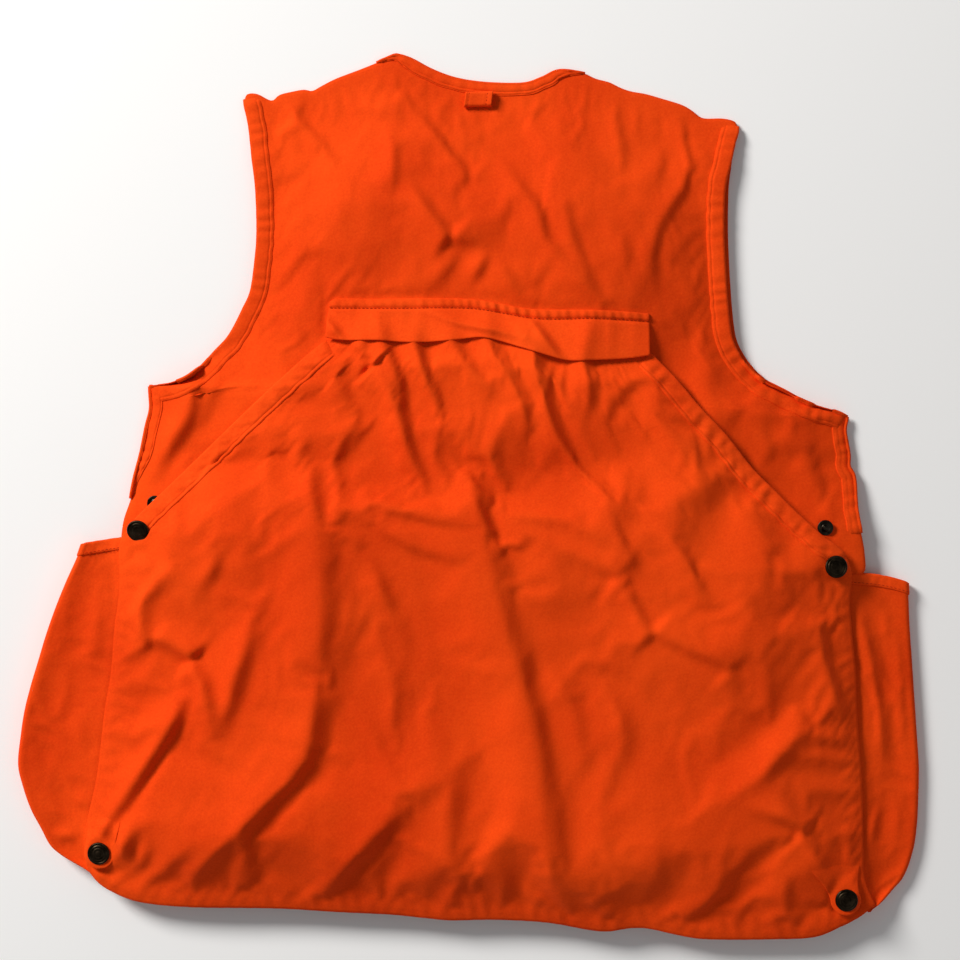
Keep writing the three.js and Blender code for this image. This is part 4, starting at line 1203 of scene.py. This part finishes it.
def make_tab(side):
    """A folded corner with a round end over the snap, sinking at its hinge into the pouch."""
    cx, cy = LOWER_SNAPS[side]
    tab = TABS[side]
    across = np.linspace(-1, 1, 31)[:, None]
    angles = np.radians(np.linspace(-72, 0, 10))
    length = np.concatenate([TAB_WIDTH * np.sin(angles), np.linspace(0, TAB_REACH + 6, 26)[1:]])[None]
    half = np.concatenate([TAB_WIDTH * np.cos(angles), np.full(25, TAB_WIDTH)])[None]
    lean = tab["lean"] * np.maximum(length, 0)
    x = cx + across * half * (1 + tab["widen"] * smoothstep(length, 4, 34)) + lean
    y = cy + length - (1 - across**2) * 0.6 * (length < -11)
    far = np.hypot(x - cx, (y - cy) * 0.8)
    cover = pouch_top(x, y)
    stand = pouch_top(np.array(cx), np.array(cy)) + TAB_LIFT
    z = cover + 1.3 + (stand - cover - 1.3) * (1 - smoothstep(far, 8.0, 18.0))
    pinch = np.exp(-(((across * half - 1) / 4.5) ** 2)) * smoothstep(length, 8, 18)
    pinch *= 1 - smoothstep(length, 20, 32)
    z += tab["pinch"] * pinch - 2.2 * smoothstep(length, 16, 32)
    obj = solid_sheet(f"corner_tab_cloth_{side}", with_z(x, y, z), CLOTH_AS_SEEN, orange)
    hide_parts(f"pouch_corner_{side}")
    bent_at(obj)


# ---- Snaps: profiles are (radius, height) from the axis below to the axis above ----
CAP_PROFILE = [
    (0.0, -1.6), (1.9, -1.6), (1.9, 0.0), (7.9, 0.0), (8.5, 0.12), (8.75, 0.5), (8.7, 0.95), (8.4, 1.35),
    (7.9, 1.6), (7.4, 1.62), (7.05, 1.42), (6.85, 1.3), (6.6, 1.42), (6.3, 1.72), (5.9, 1.86), (5.4, 1.86),
    (5.05, 1.7), (4.8, 1.62), (4.5, 1.74), (4.1, 1.98), (3.6, 2.05), (3.1, 1.98), (2.8, 1.84), (2.4, 1.86),
    (1.9, 2.06), (1.1, 2.2), (0.0, 2.24),
]
SOCKET_PROFILE = [
    (2.7, 0.3), (3.0, 0.0), (5.3, 0.0), (5.9, 0.25), (6.2, 0.7), (6.0, 1.2), (5.5, 1.65), (4.6, 1.8),
    (4.2, 2.1), (3.4, 2.2), (2.8, 2.05), (2.7, 1.6), (2.6, 0.9), (2.7, 0.3),
]
STUD_PROFILE = [
    (0.0, -1.2), (1.6, -1.2), (1.6, 0.0), (5.8, 0.0), (6.15, 0.2), (6.1, 0.55), (5.7, 0.75), (5.0, 0.7),
    (4.4, 0.5), (3.6, 0.5), (3.0, 0.75), (2.4, 1.1), (1.95, 1.6), (2.15, 2.1), (2.1, 2.5), (1.7, 2.85),
    (1.0, 2.95), (0.6, 2.7), (0.0, 2.65),
]
POST_PROFILE = [
    (0.0, 0.1), (3.6, 0.0), (4.8, 0.0), (5.2, 0.25), (5.0, 0.6), (4.2, 0.75), (2.0, 0.7), (1.4, 0.9),
    (1.3, 2.2), (1.0, 2.5), (0.0, 2.5),
]


SNAP_SIDES = 56


def snap_part(name, profile, material, at, body, tilt=(0.0, 0.0)):
    """A turned part of a snap in the place of its CAD node."""
    obj = lathe(f"{name}_turned", profile, SNAP_SIDES, material, at, tilt)
    stand_in(obj, name, body)


def centre_of(node):
    """X and Y of the middle of a CAD node."""
    low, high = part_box(node)
    return (low.x + high.x) / 2 / MM, (low.y + high.y) / 2 / MM


def highest(surface, x, y, radius):
    """The top of a surface under a disc, from points round its rim and its middle."""
    angles = np.linspace(0, 2 * np.pi, 16, endpoint=False)
    ring = surface(x + radius * np.cos(angles), y + radius * np.sin(angles))
    return float(max(ring.max(), surface(np.array(x), np.array(y))))


def make_snaps(side):
    """One side's two snaps: the undone one at the mouth and the fastened one at the foot of the pouch."""
    x, y = centre_of(f"upper_cap_{side}")
    seat = highest(pouch_top, x, y, 5)
    tilt, lift = ((20.0, -5.0), 1.2) if side == "left" else ((-4.0, 5.0), 0.3)
    snap_part(f"upper_cap_{side}", CAP_PROFILE, brass_painted_dark_reflection, (x, y, seat + lift), "mouth", tilt)
    snap_part(f"upper_socket_{side}", SOCKET_PROFILE, bright_brass, (x, y, seat - 3.6), "mouth", tilt)
    x, y = centre_of(f"upper_stud_{side}")
    seat = highest(back_top, x, y, 4)
    snap_part(f"upper_stud_{side}", STUD_PROFILE, stud_brass_painted_dark_reflection, (x, y, seat + 0.05), "vest", (3.0, -4.0))
    snap_part(f"upper_post_{side}", POST_PROFILE, brass_painted_dark_reflection, (x, y, seat - 3.4), "vest")
    x, y = centre_of(f"lower_cap_{side}")
    base = float(pouch_top(np.array(x), np.array(y)))
    body = f"corner_{side}"
    snap_part(f"lower_post_{side}", POST_PROFILE, brass_painted_dark_reflection, (x, y, base - 3.4), "vest")
    snap_part(f"lower_stud_{side}", STUD_PROFILE, stud_brass_painted_dark_reflection, (x, y, base + 0.1), "vest")
    snap_part(f"lower_socket_{side}", SOCKET_PROFILE, bright_brass, (x, y, base + 0.95), body)
    snap_part(f"lower_cap_{side}", CAP_PROFILE, brass_painted_dark_reflection, (x, y, base + TAB_LIFT + 0.15), body, (3.0, -3.0))


# ---- Pouch lining ----
LINING_CORNERS = np.array([(-255, -262), (272, -286), (-118, 96), (140, 88)], float)


def make_lining():
    """The coated cloth inside the pouch, which shows when the mouth is open."""
    u, v = np.meshgrid(np.linspace(0, 1, 90), np.linspace(0, 1, 70), indexing="ij")
    low = LINING_CORNERS[0] * (1 - u)[..., None] + LINING_CORNERS[1] * u[..., None]
    high = LINING_CORNERS[2] * (1 - u)[..., None] + LINING_CORNERS[3] * u[..., None]
    place = low * (1 - v)[..., None] + high * v[..., None]
    x, y = place[..., 0], place[..., 1]
    z = back_top(x, y) + 1.8 + 0.3 * crumple(x, y, 30, 87)
    obj = solid_sheet("pouch_lining_cloth", with_z(x, y, z), 0.6, lining_cloth)
    stand_in(obj, "pouch_lining")


# ---- Zip ----
TOOTH_PITCH = 2.4
TOOTH_SECTIONS = [  # (share of its length from the tape, half height, half thickness)
    (0.0, 0.95, 0.75), (0.08, 1.2, 0.95), (0.55, 1.2, 0.8), (0.72, 1.05, 0.62), (0.92, 1.0, 0.8),
    (1.0, 0.7, 0.6),
]
TOOTH_CORNERS = [
    (1, 0.55), (0.6, 1), (-0.6, 1), (-1, 0.55), (-1, -0.55), (-0.6, -1), (0.6, -1), (1, -0.55)
]
TOOTH_REACH = 1.1  # how far a tooth goes in between those of the other side
CHAIN_END = 0.9


def make_teeth(side):
    """A row of separate teeth, which reach in between those of the other side."""
    low, high = (np.array(corner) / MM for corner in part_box(f"zip_chain_{side}"))
    sign = -1 if side == "left" else 1
    root, nose = (low[0], high[0]) if side == "left" else (high[0], low[0])
    nose -= sign * TOOTH_REACH
    middle = (low[2] + high[2]) / 2
    verts, faces = [], []
    count = len(TOOTH_CORNERS)
    start = low[1] + (CHAIN_END if side == "left" else CHAIN_END + TOOTH_PITCH / 2)
    for y in np.arange(start, high[1] - CHAIN_END, TOOTH_PITCH):
        base = len(verts)
        for share, tall, deep in TOOTH_SECTIONS:
            x = root + (nose - root) * share
            verts += [(x, y + corner[0] * deep, middle + corner[1] * tall) for corner in TOOTH_CORNERS]
        last = len(verts) - count
        for ring in range(base, last, count):
            for i in range(count):
                a, b = ring + i, ring + (i + 1) % count
                faces.append((a, b, b + count, a + count) if sign < 0 else (a, a + count, b + count, b))
        root_end, nose_end = tuple(range(base, base + count)), tuple(range(last, last + count))
        faces += [root_end[::-1], nose_end] if sign < 0 else [root_end, nose_end[::-1]]
    obj = new_object(f"zip_teeth_{side}", verts, faces, teeth_plastic, smooth=False)
    stand_in(obj, f"zip_chain_{side}")


def make_tape(side):
    """A woven tape with a cord at the teeth, its other edge behind the front panel."""
    low, high = (np.array(corner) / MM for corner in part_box(f"zip_tape_{side}"))
    sewn_in = 5.2  # how far the tape runs on behind the front panel
    inner, outer = (high[0], low[0] - sewn_in) if side == "left" else (low[0], high[0] + sewn_in)
    across = np.linspace(0, 1, 9)
    y = np.linspace(low[1], high[1], 240)
    first, last = sorted((inner, outer))
    x, y = np.broadcast_arrays(first + (last - first) * across[:, None], y[None])
    cord = np.exp(-((np.abs(x - inner) - 0.5) ** 2) / 0.35)
    behind = 1.75 * smoothstep(np.abs(x - CENTRE_X), 8.0, 8.9)
    z = high[2] + behind + 0.35 * cord + 0.12 * waves(x, y, 40, 51)
    obj = solid_sheet(f"zip_tape_cloth_{side}", with_z(x, y, z), 0.6, tape_cloth)
    stand_in(obj, f"zip_tape_{side}")


def rounded_copy(node, width, material, body):
    """A piece with the CAD node's own shape and rounded edges."""
    mesh = bmesh.new()
    mesh.from_mesh(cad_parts[node].data)
    bmesh.ops.remove_doubles(mesh, verts=mesh.verts, dist=1e-6)
    bmesh.ops.dissolve_limit(mesh, angle_limit=math.radians(2), verts=mesh.verts, edges=mesh.edges)
    sharp = [e for e in mesh.edges if len(e.link_faces) == 2 and e.calc_face_angle() > math.radians(40)]
    bmesh.ops.bevel(
        mesh, geom=sharp, offset=width * MM, segments=2, profile=0.6, affect="EDGES", clamp_overlap=True
    )
    data = bpy.data.meshes.new(f"{node}_rounded")
    mesh.to_mesh(data)
    mesh.free()
    data.materials.clear()
    data.materials.append(material)
    data.polygons.foreach_set("use_smooth", [False] * len(data.polygons))
    obj = bpy.data.objects.new(f"{node}_rounded", data)
    bpy.context.scene.collection.objects.link(obj)
    stand_in(obj, node, body)


# ---- The vest, from the back panel up and then its small pieces ----
back_top = make_back_panel()
for side in ("left", "right"):
    make_front_panel(side)
make_strip(
    "neck_facing_strip", [(-72, 340.5), *NECK], 8.5, -1, back_top, "neck_facing", 41, pucker=0.3,
    narrow=(34, 30),
)
make_strip(
    "armhole_facing_strip_left", LEFT_ARMHOLE, 12, -1, back_top, "armhole_facing_left", 51, pucker=0.6
)
make_strip(
    "armhole_facing_strip_right", RIGHT_ARMHOLE, 12, 1, back_top, "armhole_facing_right", 61, pucker=0.6
)
make_strip(
    "side_seam_strip_left", LEFT_FLANK[2:], 9, -1, back_top, "side_seam_left", 71, lift=0.1, rows=(0.6,),
    narrow=(45, 0),
)
make_strip(
    "side_seam_strip_right", RIGHT_FLANK[4:], 10, 1, back_top, "side_seam_right", 81, lift=0.1,
    rows=(4.0, 0.6), inner_step=0.35, groove=0.3,
)
pouch_top = make_pouch()
make_strip(
    "pouch_hem_strip_left", POUCH_LEFT_HIGH[1:], 13, -1, pouch_top, "pouch_hem_left", 91, body="mouth",
    lift=0.0, rows=(2.0,), inner_step=0.15,
)
make_strip(
    "pouch_hem_strip_right", POUCH_RIGHT_HIGH[1:], 13, 1, pouch_top, "pouch_hem_right", 101, body="mouth",
    lift=0.0, rows=(2.0,), inner_step=0.15,
)
make_flap()
make_loop()
for side in ("left", "right"):
    make_pocket(side)
    make_pocket_hem(side)
    make_tab(side)
    make_snaps(side)
    make_teeth(side)
    make_tape(side)
    rounded_copy(f"zip_stop_{side}", 0.4, zip_metal, "vest")
make_lining()
rounded_copy("zip_box", 0.5, zip_metal, "vest")
rounded_copy("zip_slider", 0.22, zip_metal, "slider")
rounded_copy("zip_pull", 0.3, zip_metal, "pull")

# ---- Camera, floor and light ----
VIEW_WIDTH, VIEW_HEIGHT = 748.8, 20  # the picture spans this width at this height above the floor
VIEW_X, VIEW_Y = 9.4, 11.3
LENS, SENSOR = 70.0, 36.0
distance = VIEW_WIDTH * LENS / SENSOR
camera_data = bpy.data.cameras.new("camera")
camera_data.lens = LENS
camera_data.sensor_width = SENSOR
camera = bpy.data.objects.new("camera", camera_data)
camera.location = (VIEW_X * MM, VIEW_Y * MM, (distance + VIEW_HEIGHT) * MM)
bpy.context.scene.collection.objects.link(camera)
bpy.context.scene.camera = camera

floor_mesh = bpy.data.meshes.new("floor")
floor_mesh.from_pydata([(-3, -3, 0), (3, -3, 0), (3, 3, 0), (-3, 3, 0)], [], [(0, 1, 2, 3)])
floor = bpy.data.objects.new("floor", floor_mesh)
bpy.context.scene.collection.objects.link(floor)
floor.location.z = -0.0005
floor_material, _, floor_shader = nodes_of("floor")
floor_shader.inputs["Base Color"].default_value = (0.93, 0.93, 0.93, 1)
floor_shader.inputs["Roughness"].default_value = 0.9
floor.data.materials.append(floor_material)


def area_light(name, place, size, power, tint=(1, 1, 1)):
    """A round light that looks at the middle of the vest."""
    data = bpy.data.lights.new(name, "AREA")
    data.shape = "DISK"
    data.size = size
    data.energy = power
    data.color = tint
    light = bpy.data.objects.new(name, data)
    light.location = place
    x, y, z = -np.array(place, float)
    light.rotation_euler = (math.atan2(math.hypot(x, y), -z), 0, math.atan2(y, x) - math.pi / 2)
    bpy.context.scene.collection.objects.link(light)


area_light("key", (-2.3, 1.9, 1.9), 1.2, 150, (1.0, 0.98, 0.95))
area_light("fill", (1.4, -0.9, 2.0), 1.6, 3)
world = bpy.data.worlds.new("world")
world.use_nodes = True
world.node_tree.nodes["Background"].inputs["Color"].default_value = (1, 1, 1, 1)
world.node_tree.nodes["Background"].inputs["Strength"].default_value = 0.22
bpy.context.scene.world = world
bpy.context.scene.view_settings.view_transform = "Standard"
